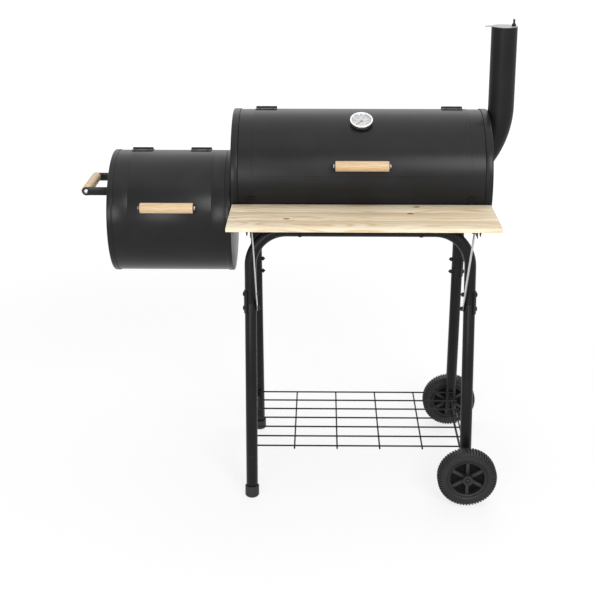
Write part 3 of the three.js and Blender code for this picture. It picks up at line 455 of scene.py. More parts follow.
            bmesh.ops.solidify(self.bm, geom=faces, thickness=depth)

    def place(self, name: str) -> bpy.types.Object:
        """Ends the mesh and links its object to the scene.

        Args:
            name: The object's name.

        Returns:
            The object.
        """
        mesh = bpy.data.meshes.new(name)
        self.bm.to_mesh(mesh)
        self.bm.free()
        piece = bpy.data.objects.new(name, mesh)
        bpy.context.scene.collection.objects.link(piece)
        return piece

    def piece(self, name: str, finish: "Finish", *nodes: str, body: Body = Body.CART,
              wall: float = 0.0, bevel: float = 0.0) -> None:
        """Makes the piece, moves it to the model's frame and lets it ride on a body.

        Args:
            name: The piece's name.
            finish: Its finish.
            nodes: The nodes it stands for.
            body: The body it moves with.
            wall: Thickness given to an open sheet, inward.
            bevel: Rounding given by a live modifier.
        """
        bm = self.bm
        if wall == 0:
            bmesh.ops.recalc_face_normals(bm, faces=bm.faces[:])
        bmesh.ops.translate(bm, vec=OFFSET, verts=bm.verts[:])
        for face in bm.faces:
            face.smooth = True
        for edge in bm.edges:
            flat = edge.calc_face_angle(0.0) < math.radians(35)
            edge.smooth = edge.is_manifold and flat
        piece = self.place(name)
        piece.data.materials.append(finish.material)
        if wall > 0:
            modifier = piece.modifiers.new("wall", "SOLIDIFY")
            modifier.thickness = wall
            modifier.offset = -1.0
        if bevel > 0:
            modifier = piece.modifiers.new("edge", "BEVEL")
            modifier.width = bevel
            modifier.segments = 2
            modifier.limit_method = "ANGLE"
            modifier.angle_limit = math.radians(50)
        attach(piece, body.value)
        if nodes:
            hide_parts(*nodes)
        LOG.info("%s: %d faces on %s", name, len(piece.data.polygons), body.value)


class Value:
    """An output socket that takes part in Python expressions."""

    def __init__(self, shader: "Shader", node: bpy.types.Node, output: Union[int, str] = 0) -> None:
        """Wraps one output of a node."""
        self.shader, self.node, self.output = shader, node, output

    def part(self, output: Union[int, str]) -> "Value":
        """Another output of the same node."""
        return Value(self.shader, self.node, output)

    def __add__(self, other: "Input") -> "Value":
        """This value plus another."""
        return self.shader.math("ADD", self, other)

    def __sub__(self, other: "Input") -> "Value":
        """This value less another."""
        return self.shader.math("SUBTRACT", self, other)

    def __rsub__(self, other: float) -> "Value":
        """A number less this value."""
        return self.shader.math("SUBTRACT", other, self)

    def __mul__(self, other: "Input") -> "Value":
        """This value times another."""
        return self.shader.math("MULTIPLY", self, other)

    def __truediv__(self, other: "Input") -> "Value":
        """This value over another."""
        return self.shader.math("DIVIDE", self, other)

    def __rtruediv__(self, other: float) -> "Value":
        """A number over this value."""
        return self.shader.math("DIVIDE", other, self)

    def __pow__(self, other: "Input") -> "Value":
        """This value raised to another."""
        return self.shader.math("POWER", self, other)

    def __rpow__(self, other: float) -> "Value":
        """A number raised to this value."""
        return self.shader.math("POWER", other, self)

    __radd__, __rmul__ = __add__, __mul__

    def ramp(self, low: float, high: float, bottom: float = 0.0, top: float = 1.0) -> "Value":
        """This value spread smoothly from one range, low to high, to another, bottom to top."""
        sockets = {"Value": self, "From Min": low, "From Max": high, "To Min": bottom, "To Max": top}
        return self.shader.node("MapRange", {"interpolation_type": "SMOOTHSTEP"}, sockets)


Input = Union[Value, float, tuple[float, ...]]
Sockets = dict[Union[int, str], Input]


class Shader:
    """A node tree in the making, with one node method and short forms of nodes that recur."""

    def __init__(self, owner: Union[bpy.types.Material, bpy.types.World]) -> None:
        """Opens the node tree of a material or world."""
        owner.use_nodes = True
        self.tree = owner.node_tree

    def node(self, kind: str, settings: Optional[dict] = None, sockets: Optional[Sockets] = None) -> Value:
        """Adds a node.

        Args:
            kind: The node's type, without the word ShaderNode.
            settings: Its own settings.
            sockets: Values or links of its inputs, by name or number.

        Returns:
            Its first output.
        """
        made = self.tree.nodes.new("ShaderNode" + kind)
        for key, value in (settings or {}).items():
            setattr(made, key, value)
        return self.feed(made, sockets or {})

    def feed(self, made: bpy.types.Node, sockets: Sockets) -> Value:
        """Links or sets a node's inputs.

        Args:
            made: The node.
            sockets: Values or links of its inputs.

        Returns:
            Its first output.
        """
        for key, value in sockets.items():
            if isinstance(value, Value):
                self.tree.links.new(value.node.outputs[value.output], made.inputs[key])
            else:
                made.inputs[key].default_value = value
        return Value(self, made)

    def math(self, operation: str, first: Input, second: Input = 0.0) -> Value:
        """Adds a Math node."""
        return self.node("Math", {"operation": operation}, {0: first, 1: second})

    def place(self, scale: Point = (1.0, 1.0, 1.0)) -> Value:
        """Object coordinates, scaled."""
        base = self.node("TexCoord").part("Object")
        return self.node("Mapping", sockets={"Vector": base, "Scale": scale})

    def vector(self, x: Input, y: Input, z: Input) -> Value:
        """A vector from three values."""
        return self.node("CombineXYZ", sockets={"X": x, "Y": y, "Z": z})

    def noise(self, where: Value, scale: float, detail: float = 2.0, roughness: float = 0.5) -> Value:
        """Noise between 0 and 1."""
        return self.node("TexNoise", sockets={
            "Vector": where, "Scale": scale, "Detail": detail, "Roughness": roughness})

    def blend(self, amount: Value, first: Input, second: Colour) -> Value:
        """A mix of two colours, the first of them a value or an RGB colour."""
        colours = {6: first if isinstance(first, Value) else (*first, 1.0), 7: (*second, 1.0)}
        return self.node("Mix", {"data_type": "RGBA"}, {0: amount, **colours}).part(2)

    def bump(self, height: Value, depth: float, **under: Value) -> Value:
        """A bump of a real depth in metres, on another one given as Normal."""
        return self.node("Bump", sockets={"Height": height, "Distance": depth, "Strength": 1.0, **under})

    def seen(self) -> Value:
        """Tells what looks at a surface.

        Returns:
            1 for rays of the camera, of reflections and through glass, otherwise 0.
        """
        rays = self.node("LightPath")
        bounced = self.math("MAXIMUM", rays.part("Is Glossy Ray"), rays.part("Is Transmission Ray"))
        return self.math("MAXIMUM", rays.part("Is Camera Ray"), bounced)


def rgb(red: float, green: float, blue: float) -> Colour:
    """Linear colour from display values of 0 to 255."""
    parts = (c / 255 for c in (red, green, blue))
    return tuple(c / 12.92 if c <= 0.04045 else ((c + 0.055) / 1.055) ** 2.4 for c in parts)


def shaded(colour: Colour, by: float, more: float = 0.0) -> Colour:
    """A colour made lighter or darker."""
    return tuple(c * by + more for c in colour)


@dataclass(frozen=True)
class Finish:
    """What all finishes have: the material's name, its slot in the record and its colour."""

    name: str
    slot: Slot
    colour: Colour

    @cached_property
    def material(self) -> bpy.types.Material:
        """Makes the material when it is first asked for.

        Returns:
            The material.
        """
        made = bpy.data.materials.new(self.name)
        shader = Shader(made)
        shader.feed(made.node_tree.nodes["Principled BSDF"], self.surface(shader))
        return made

    def surface(self, shader: Shader) -> Sockets:
        """What the surface's sockets take from a shader's nodes."""
        return {"Base Color": (*self.colour, 1.0)}


@dataclass(frozen=True)
class CoatedSteel(Finish):
    """Painted or powder-coated steel."""

    roughness: float
    spread: float
    level: float
    ripple: float = 0.0
    ripple_scale: float = 7.0
    peel: float = 0.00002
    grain: float = 700.0
    cloud: float = 14.0
    specks: float = 2200.0

    def surface(self, shader: Shader) -> Sockets:
        """Works out the paint's sockets.

        Args:
            shader: Where its nodes go.

        Returns:
            What the surface's sockets take.
        """
        where = shader.place()
        cloud = shader.noise(where, self.cloud, 3.0)
        fine = shader.noise(where, self.grain)
        specks = shader.noise(where, self.specks, 1.0).ramp(0.6, 0.75) * 0.35
        skin = shader.bump(fine, self.peel)
        if self.ripple > 0:
            skin = shader.bump(shader.noise(where, self.ripple_scale, 1.0), self.ripple, Normal=skin)
        return {
            "Base Color": shader.blend(cloud.ramp(0.35, 0.7) * 0.5 + specks, self.colour,
                                       shaded(self.colour, 1.35, 0.002)),
            "Roughness": self.roughness + (cloud - 0.5) * self.spread + (fine - 0.5) * self.spread * 0.5,
            "Specular IOR Level": self.level,
            "Normal": skin}


@dataclass(frozen=True)
class BareMetal(Finish):
    """Plated or bare metal, brushed along one direction."""

    roughness: float
    brush: Colour
    scratch: float = 0.12
    metallic: float = 1.0
    cloud: float = 35.0
    depth: float = 0.00001

    def surface(self, shader: Shader) -> Sockets:
        """Works out the metal's sockets.

        Args:
            shader: Where its nodes go.

        Returns:
            What the surface's sockets take.
        """
        lines = shader.noise(shader.place(self.brush), 1.0, 3.0, 0.6)
        cloud = shader.noise(shader.place(), self.cloud, 3.0)
        worn = cloud.ramp(0.3, 0.7) * 0.6 + lines.ramp(0.4, 0.7) * 0.4
        return {
            "Base Color": shader.blend(worn, self.colour, shaded(self.colour, 0.82)),
            "Roughness": self.roughness + (lines - 0.5) * self.scratch + (cloud - 0.5) * self.scratch,
            "Metallic": self.metallic,
            "Normal": shader.bump(lines, self.depth)}


@dataclass(frozen=True)
class MouldedPlastic(Finish):
    """Matt moulded plastic with a fine spark-eroded grain."""

    roughness: float = 0.55
    level: float = 0.4
    grain: float = 1400.0
    cloud: float = 22.0
    depth: float = 0.00004

    def surface(self, shader: Shader) -> Sockets:
        """Works out the plastic's sockets.

        Args:
            shader: Where its nodes go.

        Returns:
            What the surface's sockets take.
        """
        where = shader.place()
        grain = shader.noise(where, self.grain)
        cloud = shader.noise(where, self.cloud, 3.0)
        return {
            "Base Color": shader.blend(cloud.ramp(0.35, 0.7) * 0.6 + grain.ramp(0.55, 0.8) * 0.3,
                                       self.colour, shaded(self.colour, 1.3, 0.004)),
            "Roughness": self.roughness + (cloud - 0.5) * 0.14,
            "Specular IOR Level": self.level,
            "Normal": shader.bump(grain, self.depth)}


@dataclass(frozen=True)
class SawnPine(Finish):
    """Planed pine boards with their grain along X, knots and a fine fibre."""

    deep: Colour
    knot: Colour
    board: float
    front: float
    rings: float = 170.0
    start: float = 0.35
    depth: float = 0.00012

    def surface(self, shader: Shader) -> Sockets:
        """Works out the pine's sockets.

        Args:
            shader: Where its nodes go.

        Returns:
            What the surface's sockets take.
        """
        split = shader.node("SeparateXYZ", sockets={0: shader.node("TexCoord").part("Object")})
        x, y, z = (split.part(axis) for axis in "XYZ")
        number = shader.math("FLOOR", (y - self.front) / self.board)
        along = x + self.start + number * 3.7
        across = y + number * 0.41
        where = shader.vector(along * 1.6, across * 11.0, z * 11.0)
        knots = self.knots(shader, along, across)
        swirl = shader.noise(where, 1.0, 2.0, 0.45) + knots * 0.06
        lines = (shader.math("SINE", swirl * self.rings) * 0.5 + 0.5) ** 2.5
        fibre = shader.noise(shader.vector(along * 14.0, across * 900.0, z * 900.0), 1.0)
        patch = shader.noise(shader.vector(along * 3.0, across * 22.0, z * 22.0), 1.0)
        grain = lines * patch.ramp(0.3, 0.65, 0.25, 0.95) + fibre.ramp(0.45, 0.8) * 0.22
        tint = tuple(0.55 * p + 0.45 * d for p, d in zip(self.colour, self.deep))
        ground = shader.blend(patch.ramp(0.35, 0.75) * 0.5, self.colour, tint)
        wood = shader.blend(grain * 0.7, ground, self.deep)
        return {
            "Base Color": shader.blend(knots.ramp(0.62, 0.9), wood, self.knot),
            "Roughness": 0.62 - lines * 0.1,
            "Specular IOR Level": 0.4,
            "Normal": shader.bump(fibre + lines * 0.5, self.depth)}

    def knots(self, shader: Shader, along: Value, across: Value) -> Value:
        """Works out where knots are.

        Args:
            shader: Where the nodes go.
            along: Places along the boards.
            across: Places across them.

        Returns:
            A mask that rises to 1 in the middle of each knot.
        """
        far = shader.node("TexVoronoi", {"voronoi_dimensions": "2D", "feature": "F1"}, {
            "Vector": shader.vector(along * 2.7, across * 3.6, 0.0), "Scale": 1.0, "Randomness": 0.9})
        return far.ramp(0.0, 0.065, 1.0, 0.0)


@dataclass(frozen=True)
class TurnedWood(Finish):
    """A turned grip of varnished hardwood, its grain along one axis."""

    deep: Colour
    stretch: Colour
    rings: float = 34.0
    depth: float = 0.00006

    def surface(self, shader: Shader) -> Sockets:
        """Works out the varnished wood's sockets.

        Args:
            shader: Where its nodes go.

        Returns:
            What the surface's sockets take.
        """
        broad = shader.noise(shader.place(self.stretch), 1.0, 3.0)
        wave = shader.math("SINE", broad * self.rings) * 0.5 + 0.5
        pores = shader.noise(shader.place(shaded(self.stretch, 8.0)), 1.0)
        return {
            "Base Color": shader.blend(wave * 0.45 + pores.ramp(0.5, 0.75) * 0.4, self.colour, self.deep),
            "Roughness": 0.42 + pores * 0.1,
            "Specular IOR Level": 0.5, "Coat Weight": 0.25, "Coat Roughness": 0.25,
            "Normal": shader.bump(pores, self.depth)}


@dataclass(frozen=True)
class ClearGlass(Finish):
    """The thermometer's thin glass."""

    def surface(self, shader: Shader) -> Sockets:
        """Works out the glass's sockets.

        Args:
            shader: Where its nodes go.

        Returns:
            What the surface's sockets take.
        """
        smear = shader.noise(shader.place(), 60.0)
        return {**super().surface(shader), "Roughness": 0.03, "Specular IOR Level": 0.5,
                "Alpha": 0.08 + smear.ramp(0.4, 0.8) * 0.06}


@dataclass(frozen=True)
class PrintedFace(Finish):
    """The thermometer's pale enamelled face or a mark printed on it."""

    def surface(self, shader: Shader) -> Sockets:
        """Works out the print's sockets.

        Args:
            shader: Where its nodes go.

        Returns:
            What the surface's sockets take.
        """
        cloud = shader.noise(shader.place(), 90.0)
        dust = cloud.ramp(0.3, 0.8) * 0.5
        return {"Base Color": shader.blend(dust, self.colour, shaded(self.colour, 0.88)),
                "Roughness": 0.4 + cloud * 0.1, "Specular IOR Level": 0.4}


HEAT_PAINT = CoatedSteel("heat_paint", Slot.PAINT, rgb(26, 26, 27), 0.29, 0.07, 0.19, ripple=0.0001)
STACK_PAINT = CoatedSteel("stack_paint", Slot.PAINT, rgb(26, 26, 27), 0.42, 0.06, 0.13)
TUBE_COATING = CoatedSteel("tube_coating", Slot.GLOSS, rgb(22, 22, 23), 0.30, 0.07, 0.15)
BLACK_HARDWARE = CoatedSteel("black_hardware", Slot.GLOSS, rgb(21, 21, 22), 0.34, 0.10, 0.22)
ZINC = BareMetal("zinc_strip", Slot.STEEL, rgb(196, 198, 199), 0.22, (900.0, 60.0, 60.0), 0.08, 0.9)
DAMPER_STEEL = BareMetal("damper_steel", Slot.STEEL, rgb(150, 150, 150), 0.45, (60.0, 700.0, 700.0))
CHROME = BareMetal("chrome_ring", Slot.CHROME, rgb(226, 228, 230), 0.26, (300.0, 300.0, 300.0), 0.05)
GRATE_WIRE = BareMetal("grate_wire", Slot.STEEL, rgb(176, 177, 178), 0.3, (500.0, 60.0, 500.0))
PLASTIC = MouldedPlastic("moulded_plastic", Slot.PLASTIC, rgb(27, 27, 28))
# Near-black, barely reflecting plastic for the wheel web: painted shade of the deep hub recess.
RECESS_SHADE_PLASTIC = MouldedPlastic("dull_plastic", Slot.PLASTIC, rgb(8, 8, 9), 0.6, 0.1)
PINE = SawnPine("planed_pine", Slot.PINE, rgb(241, 228, 201), rgb(203, 164, 114), rgb(150, 104, 62),
                0.0653, OFFSET.y - 0.341)
LID_WOOD = TurnedWood("grip_wood", Slot.TURNED_WOOD, rgb(214, 186, 146), rgb(188, 150, 106),
                      (9.0, 130.0, 130.0))
SIDE_WOOD = TurnedWood("side_grip_wood", Slot.TURNED_WOOD, rgb(220, 192, 148), rgb(192, 154, 106),
                       (130.0, 9.0, 130.0))
DIAL_GLASS = ClearGlass("dial_glass", Slot.GLASS, (0.9, 0.93, 0.93))
DIAL_FACE = PrintedFace("dial_face", Slot.CHROME, rgb(203, 204, 201))
DIAL_MARKS = PrintedFace("dial_marks", Slot.PLASTIC, rgb(52, 52, 54))
RED_ENAMEL = PrintedFace("red_enamel", Slot.POINTER, rgb(176, 34, 32))


@dataclass(frozen=True)
class Fastener:
    """Bolts and nuts, added to a form."""

    head_radius: float = 0.006
    head_height: float = 0.003
    rim_share: float = 0.15
    shank: float = 0.003
    nut_across: float = 0.0095
    nut_height: float = 0.0045
    thread: float = 0.0008
    end: float = 0.0067

    def dome(self, form: Form, place: Matrix) -> None:
        """Adds a mushroom head seated on the local XY plane."""
        r, h, rim = self.head_radius, self.head_height, self.rim_share * self.head_height
        form.turned([(0.0, 0.0), (r, 0.0), (r, rim), *crown(r, rim, h - rim), (0.0, h)], place, 20)

    def nut(self, form: Form, place: Matrix) -> None:
        """Adds a hexagon nut with its bolt's tapered end.

        Args:
            form: The form.
            place: The nut's seat, on the local XY plane.
        """
        form.slab(Outline.hexagon(self.nut_across), self.nut_height, place, EDGE)
        form.turned([(0.0, 0.0), (self.shank, 0.0), (self.shank, self.nut_height + self.thread),
                     (0.3 * self.shank, self.end), (0.0, self.end)], place, 14)

    def through(self, form: Form, tail: Vector, head: Vector) -> None:
        """Adds a whole bolt.

        Args:
            form: The form.
            tail: The seat of its nut.
            head: The seat of its head.
        """
        form.rod(tail, head, self.shank)
        self.dome(form, aim(head, head - tail))
        self.nut(form, aim(tail, tail - head))


@dataclass
class Barrel:
    """A drum with two caps, a window under a hinged lid, and the lid's hinges."""

    name: str
    lid_body: Body
    radius: float
    length: float
    axis: float
    middle: float
    lid_width: float
    lid_low: float
    lid_corner: float
    window_low: float
    window_width: float
    flange: float
    hinges: Pair
    openings: dict[End, list[Profile]]
    creases: tuple[float, ...] = ()
    window_high: float = 89.5
    hinge_angle: float = 97.0
    lid_setback: float = 0.0054
    lid_back_corner: float = 0.002
    lid_edge: float = 0.00045
    sheet: float = 0.0012
    lid_gap: float = 0.0006
    cap_gap: float = 0.0005
    fold: float = 0.0032
    lip_curl: tuple[Pair, ...] = ((0.0, 0.0016), (0.0002, 0.0008), (0.0008, 0.0))
    facets: int = 180
    pin: float = 0.0019
    pin_rise: float = 0.0042
    pin_tip: float = 0.0005
    knuckle: float = 0.0034
    hinge_width: float = 0.050
    middle_width: float = 0.025
    leaf_sheet: float = 0.0015
    leaf_rise: float = 0.0018
    leaf_near: Pair = (0.2, 3.2)
    leaf_far: Pair = (2.55, 8.4)
    rivet: Fastener = Fastener(0.0032, 0.0012)
    rivet_angle: float = 5.6
    rivet_spread: float = 0.016

    @property
    def centre(self) -> Vector:
        """The middle of the barrel's axis."""
        return Vector((self.middle, 0.0, self.axis))

    @property
    def lid_radius(self) -> float:
        """The lid's outer radius."""
        return self.radius + self.lid_gap + self.sheet

    def seat(self, radius: float, angle: float, offset: float = 0.0) -> Matrix:
        """A seat on the barrel's curve, in degrees from the front over the top, with Z outward."""
        out = Vector((0.0, -math.cos(math.radians(angle)), math.sin(math.radians(angle))))
        return frame_on(RIGHT, out.cross(RIGHT), out, self.centre + RIGHT * offset + out * radius)

    def build(self) -> None:
        """Builds the barrel."""
        self.shell()
        for end in End:
            self.cap(end)
        self.lid()
        for offset in self.hinges:
            self.hinge(offset)

    def shell(self) -> None:
        """Builds the rolled shell with its window."""
        form = Form()
        half = self.length / 2 - self.sheet - GAP
        start = frame_on(BACK, UP, RIGHT, self.centre - RIGHT * half)
        ring, here = form.ring(start, self.radius, self.facets), -half
        for station in (-self.window_width / 2, self.window_width / 2, half):
            ring, here = form.push(ring, RIGHT * (station - here)), station
        for angle in (self.window_low, self.window_high):
            a = math.radians(angle)
            form.cut(self.centre, (0.0, math.sin(a), math.cos(a)))
        window = [f for f in form.bm.faces if self.in_window(f.calc_center_median() - self.centre)]
        bmesh.ops.delete(form.bm, geom=window, context="FACES")
        form.face_outward(self.centre, along=False)
        form.piece(f"{self.name}_shell_skin", HEAT_PAINT, f"{self.name}_shell", wall=self.sheet)

    def in_window(self, point: Vector) -> bool:
        """Whether a point of the shell, from the barrel's centre, lies in its window."""
        angle = math.degrees(math.atan2(point.z, -point.y))
        return self.window_low < angle < self.window_high and abs(point.x) < self.window_width / 2

    def cap(self, end: End) -> None:
        """Builds a pressed cap with its flange and openings.

        Args:
            end: The end it closes.
        """
        form = Form()
        outer = self.radius + self.cap_gap + self.sheet
        face = self.middle + end.value * self.length / 2
        place = frame_on(BACK, UP * -end.value, RIGHT * -end.value, (face, 0.0, self.axis))
        fold, lip = self.fold, self.flange
        rim = [(outer - fold, 0.0), *arc((outer - fold, fold), fold, -72, 0, 4),
               *[(outer - inward, lip - back) for inward, back in self.lip_curl]]
        edges = form.skirt(rim, place, self.facets)
        for opening in self.openings[end]:
            edges += form.wire([(face, y, z) for y, z in opening])
        form.fill(edges)
        form.face_outward(self.centre, along=True)
        form.piece(f"{self.name}_cap_{end.label}_pressing", HEAT_PAINT,
                   f"{self.name}_cap_{end.label}", wall=self.sheet)

    def lid(self) -> None:
        """Builds the lid's rolled sheet."""
        form = Form()
        high = self.hinge_angle - math.degrees(self.lid_setback / self.radius)
        low, high = math.radians(self.lid_low), math.radians(high)
        depth = (high - low) * self.lid_radius
        outline = Outline.rounded(self.lid_width, depth, self.lid_corner, 6, self.lid_back_corner)
        form.rolled(outline, self.lid_radius, (low + high) / 2, self.centre, self.creases)
        form.piece(f"{self.name}_lid_skin", HEAT_PAINT, f"{self.name}_lid_sheet",
                   body=self.lid_body, wall=self.sheet, bevel=self.lid_edge)

    def hinge(self, offset: float) -> None:
        """Builds a butt hinge, with two knuckles on the shell and one on the lid.

        Args:
            offset: Its place along the barrel.
        """
        label = f"{self.name}_hinge_{'left' if offset < 0 else 'right'}"
        pin = self.seat(self.radius + self.pin_rise, self.hinge_angle, offset)
        edge, half = self.hinge_width / 2, self.middle_width / 2
        knuckle = edge - half - self.pin_tip
        shell, lid = self.radius + self.leaf_rise, self.lid_radius + self.leaf_rise
        (near, root), (tip, far) = self.leaf_near, self.leaf_far
        fixed, moving = Form(), Form()
        for way in (-1, 1):
            ends = (Vector((way * x, 0.0, 0.0)) for x in (edge, edge - knuckle))
            fixed.rod(*(pin @ end for end in ends), self.knuckle, 20, EDGE)
            self.leaf(fixed, offset + way * (edge - knuckle / 2), knuckle, shell, near, root)
        tips = (Vector((way * (edge + self.pin_tip), 0.0, 0.0)) for way in (-1, 1))
        fixed.rod(*(pin @ end for end in tips), self.pin, 14, FINE_EDGE)
        self.leaf(fixed, offset, self.hinge_width, shell, tip, far)
        moving.rod(pin @ Vector((-half, 0.0, 0.0)), pin @ Vector((half, 0.0, 0.0)), self.knuckle, 20, EDGE)
        self.leaf(moving, offset, self.middle_width, lid, -root, -near)
        self.leaf(moving, offset, self.hinge_width, lid, -far, -tip)
        for way in (-1, 1):
            for form, radius, turn in ((fixed, shell, 1), (moving, lid, -1)):
                angle = self.hinge_angle + turn * self.rivet_angle
                self.rivet.dome(form, self.seat(radius, angle, offset + way * self.rivet_spread))
        fixed.piece(f"{label}_fixed_leaf", BLACK_HARDWARE, f"{label}_shell_leaf")
        moving.piece(f"{label}_moving_leaf", BLACK_HARDWARE, f"{label}_lid_leaf", body=self.lid_body)

    def leaf(self, form: Form, offset: float, width: float, radius: float, low: float, high: float) -> None:
        """Adds a curved leaf.

        Args:
            form: The form.
            offset: Its place along the barrel.
            width: Its width.
            radius: Its outer radius.
            low: Its lower end, in degrees past the hinge.
            high: Its upper end.
        """
        a, b = (math.radians(self.hinge_angle + angle) for angle in (low, high))
        outline = Outline.rounded(width, (b - a) * radius, self.leaf_sheet, 3)
        form.rolled(outline, radius, (a + b) / 2, self.centre + RIGHT * offset, depth=self.leaf_sheet)


@dataclass
class GripHandle:
    """A turned grip between the ears of a bent strap, on a seat with X along it and Z outward."""

    name: str
    body: Body
    seat: Matrix
    wood: TurnedWood
    span: float = 0.125
    stand_off: float = 0.0325
    width: float = 0.0205
    strap: float = 0.002
    grip_radius: float = 0.0122
    grip_play: float = 0.0003
    bore: float = 0.0034
    bore_ease: float = 0.0006
    ease: float = 0.0018
    bolt: Fastener = Fastener(0.0056, 0.0034)

    def build(self) -> None:
        """Builds the strap with its bolts, and the grip."""
        form, bolts = Form(), Form()
        half = self.span / 2 + self.strap / 2
        form.block((2 * half + self.strap, self.width, self.strap),
                   self.seat @ moved(0.0, 0.0, self.strap / 2), TUBE_EDGE)
        for way in (-1, 1):
            ear = frame_on(BACK, UP, RIGHT, (way * half - self.strap / 2, 0.0, 0.0))
            form.slab(Outline.tongue(self.stand_off, self.width / 2), self.strap, self.seat @ ear, EDGE)
            head = (way * (half + self.strap / 2), 0.0, self.stand_off)
            self.bolt.dome(bolts, self.seat @ frame_on(UP * -way, BACK, RIGHT * way, head))
        bolts.piece(f"{self.name}_grip_bolts", ZINC, body=self.body)
        form.piece(f"{self.name}_strap", HEAT_PAINT, f"{self.name}_bracket", body=self.body)
        self.grip()

    def grip(self) -> None:
        """Builds the turned grip with eased ends."""
        half, r, ease = self.span / 2 - self.grip_play, self.grip_radius, self.ease
        end = [(self.bore, half - self.bore_ease), (self.bore + self.bore_ease, half),
               *arc((r - ease, half - ease), ease, 90, 0, 4)]
        form = Form()
        form.turned(mirrored(end), self.seat @ frame_on(UP, BACK, -RIGHT, UP * self.stand_off), 40)
        form.piece(f"{self.name}_turned_grip", self.wood, f"{self.name}_grip", body=self.body)


@dataclass
class Thermometer:
    """The dial in the drum's lid."""

    seat: Matrix
    side: tuple[Pair, ...] = ((0.022, 0.0), (0.0264, 0.0034), (0.0272, 0.0046), (0.0272, 0.0096))
    rim: float = 0.0272
    rim_curl: float = 0.0022
    depth: float = 0.013
    lip: tuple[Pair, ...] = ((0.0233, 0.0113), (0.0225, 0.0104))
    inner: float = 0.0225
    face: float = 0.0055
    plate: float = 0.0004
    print_rise: float = 0.0001
    needle: tuple[Pair, ...] = ((0.0011, -0.005), (0.0009, 0.004), (0.00025, 0.0165))
    needle_rise: float = 0.0007
    needle_sheet: float = 0.0005
    needle_edge: float = 0.0001
    needle_hub: tuple[Pair, ...] = (
        (0.0, 0.0), (0.0028, 0.0), (0.0028, 0.0009), (0.0018, 0.0014), (0.0, 0.0014))
    glass_radius: float = 0.0224
    glass_low: float = 0.0092
    glass_rim: float = 0.0009
    glass_rise: float = 0.0013
    cold: float = 130.0
    sweep: float = 260.0
    marks: int = 26
    marks_each: int = 5
    number_step: int = 60
    number_size: float = 0.0046
    number_radius: float = 0.0145
    mark_radius: float = 0.0205
    long_mark: Pair = (0.0007, 0.0032)
    short_mark: Pair = (0.0004, 0.0018)
    stem_radius: float = 0.0032
    stem_length: float = 0.060
    stem_ease: float = 0.001

    def mark(self, number: float, radius: float, level: float) -> Matrix:
        """A matrix at a mark, counted from the cold end, its Y pointing away from the dial's middle."""
        turn = math.radians(self.cold - number * self.sweep / self.marks)
        return self.seat @ Matrix.Rotation(turn, 4, "Z") @ moved(0.0, radius, level)

    def build(self) -> None:
        """Builds the case, face, marks, needle and glass."""
        self.case()
        self.scale()
        self.pointer()
        self.glass()

    def case(self) -> None:
        """Builds the case with its rolled rim and the stem through the lid, and the face."""
        ring, plate = Form(), Form()
        stem, curl, inner, tip = self.stem_radius, self.rim_curl, self.inner, -self.stem_length
        ring.turned([(0.0, tip), (stem - self.stem_ease, tip), (stem, tip + self.stem_ease), (stem, 0.0),
                     *self.side, *arc((self.rim - curl, self.depth - curl), curl, 0, 120, 6), *self.lip,
                     (inner, self.face), (0.0, self.face)], self.seat, 64)
        ring.piece("thermometer_ring", CHROME, "thermometer_case", body=Body.DRUM_LID)
        low, high = self.face - self.plate, self.face + self.print_rise
        plate.turned([(0.0, low), (inner, low), (inner, high), (0.0, high)], self.seat, 64)
        plate.piece("thermometer_face", DIAL_FACE, body=Body.DRUM_LID)

    def scale(self) -> None:
        """Builds the scale's marks and plain numbers."""
        form = Form()
        level = self.face + self.print_rise
        for i in range(self.marks + 1):
            width, length = self.short_mark if i % self.marks_each else self.long_mark
            form.block((width, length, self.print_rise), self.mark(i, self.mark_radius - length / 2, level))
        for i in range(self.marks // self.marks_each + 1):
            place = self.mark(i * self.marks_each, self.number_radius, level)
            self.number(form, str(self.number_step * i), place.translation)
        form.piece("thermometer_scale", DIAL_MARKS, body=Body.DRUM_LID)

    def number(self, form: Form, text: str, centre: Vector) -> None:
        """Adds a plain upright number on the face.

        Args:
            form: The form.
            text: The number.
            centre: Its middle.
        """
        curve = bpy.data.curves.new(f"number_{text}", "FONT")
        curve.body = text
        curve.size = self.number_size
        curve.extrude = self.print_rise / 2
        curve.align_x = curve.align_y = "CENTER"
        maker = bpy.data.objects.new(curve.name, curve)
        bpy.context.scene.collection.objects.link(maker)
        bpy.context.view_layer.update()
        mesh = bpy.data.meshes.new_from_object(maker)
        bpy.data.objects.remove(maker)
        mesh.transform(Matrix.Translation(centre) @ self.seat.to_3x3().to_4x4())
        form.bm.from_mesh(mesh)
        bpy.data.meshes.remove(mesh)

    def pointer(self) -> None:
        """Builds the red pointer with its hub."""
        form = Form()
        place = self.mark(0, 0.0, self.face + self.needle_rise)
        left = [(-x, y) for x, y in reversed(self.needle)]
        form.slab([left[-1], *self.needle, *left[:-1]], self.needle_sheet, place, self.needle_edge)
        form.turned(self.needle_hub, place, 24)
        form.piece("thermometer_pointer", RED_ENAMEL, "thermometer_needle", body=Body.POINTER)

    def glass(self) -> None:
        """Builds the slightly domed glass."""
        form, r, low, rise = Form(), self.glass_radius, self.glass_low, self.glass_rise
        rim = low + self.glass_rim
        form.turned([(0.0, low), (r, low), (r, rim), *crown(r, rim, rise), (0.0, rim + rise)], self.seat, 56)
        form.piece("thermometer_glass", DIAL_GLASS, "thermometer_lens", body=Body.DRUM_LID)


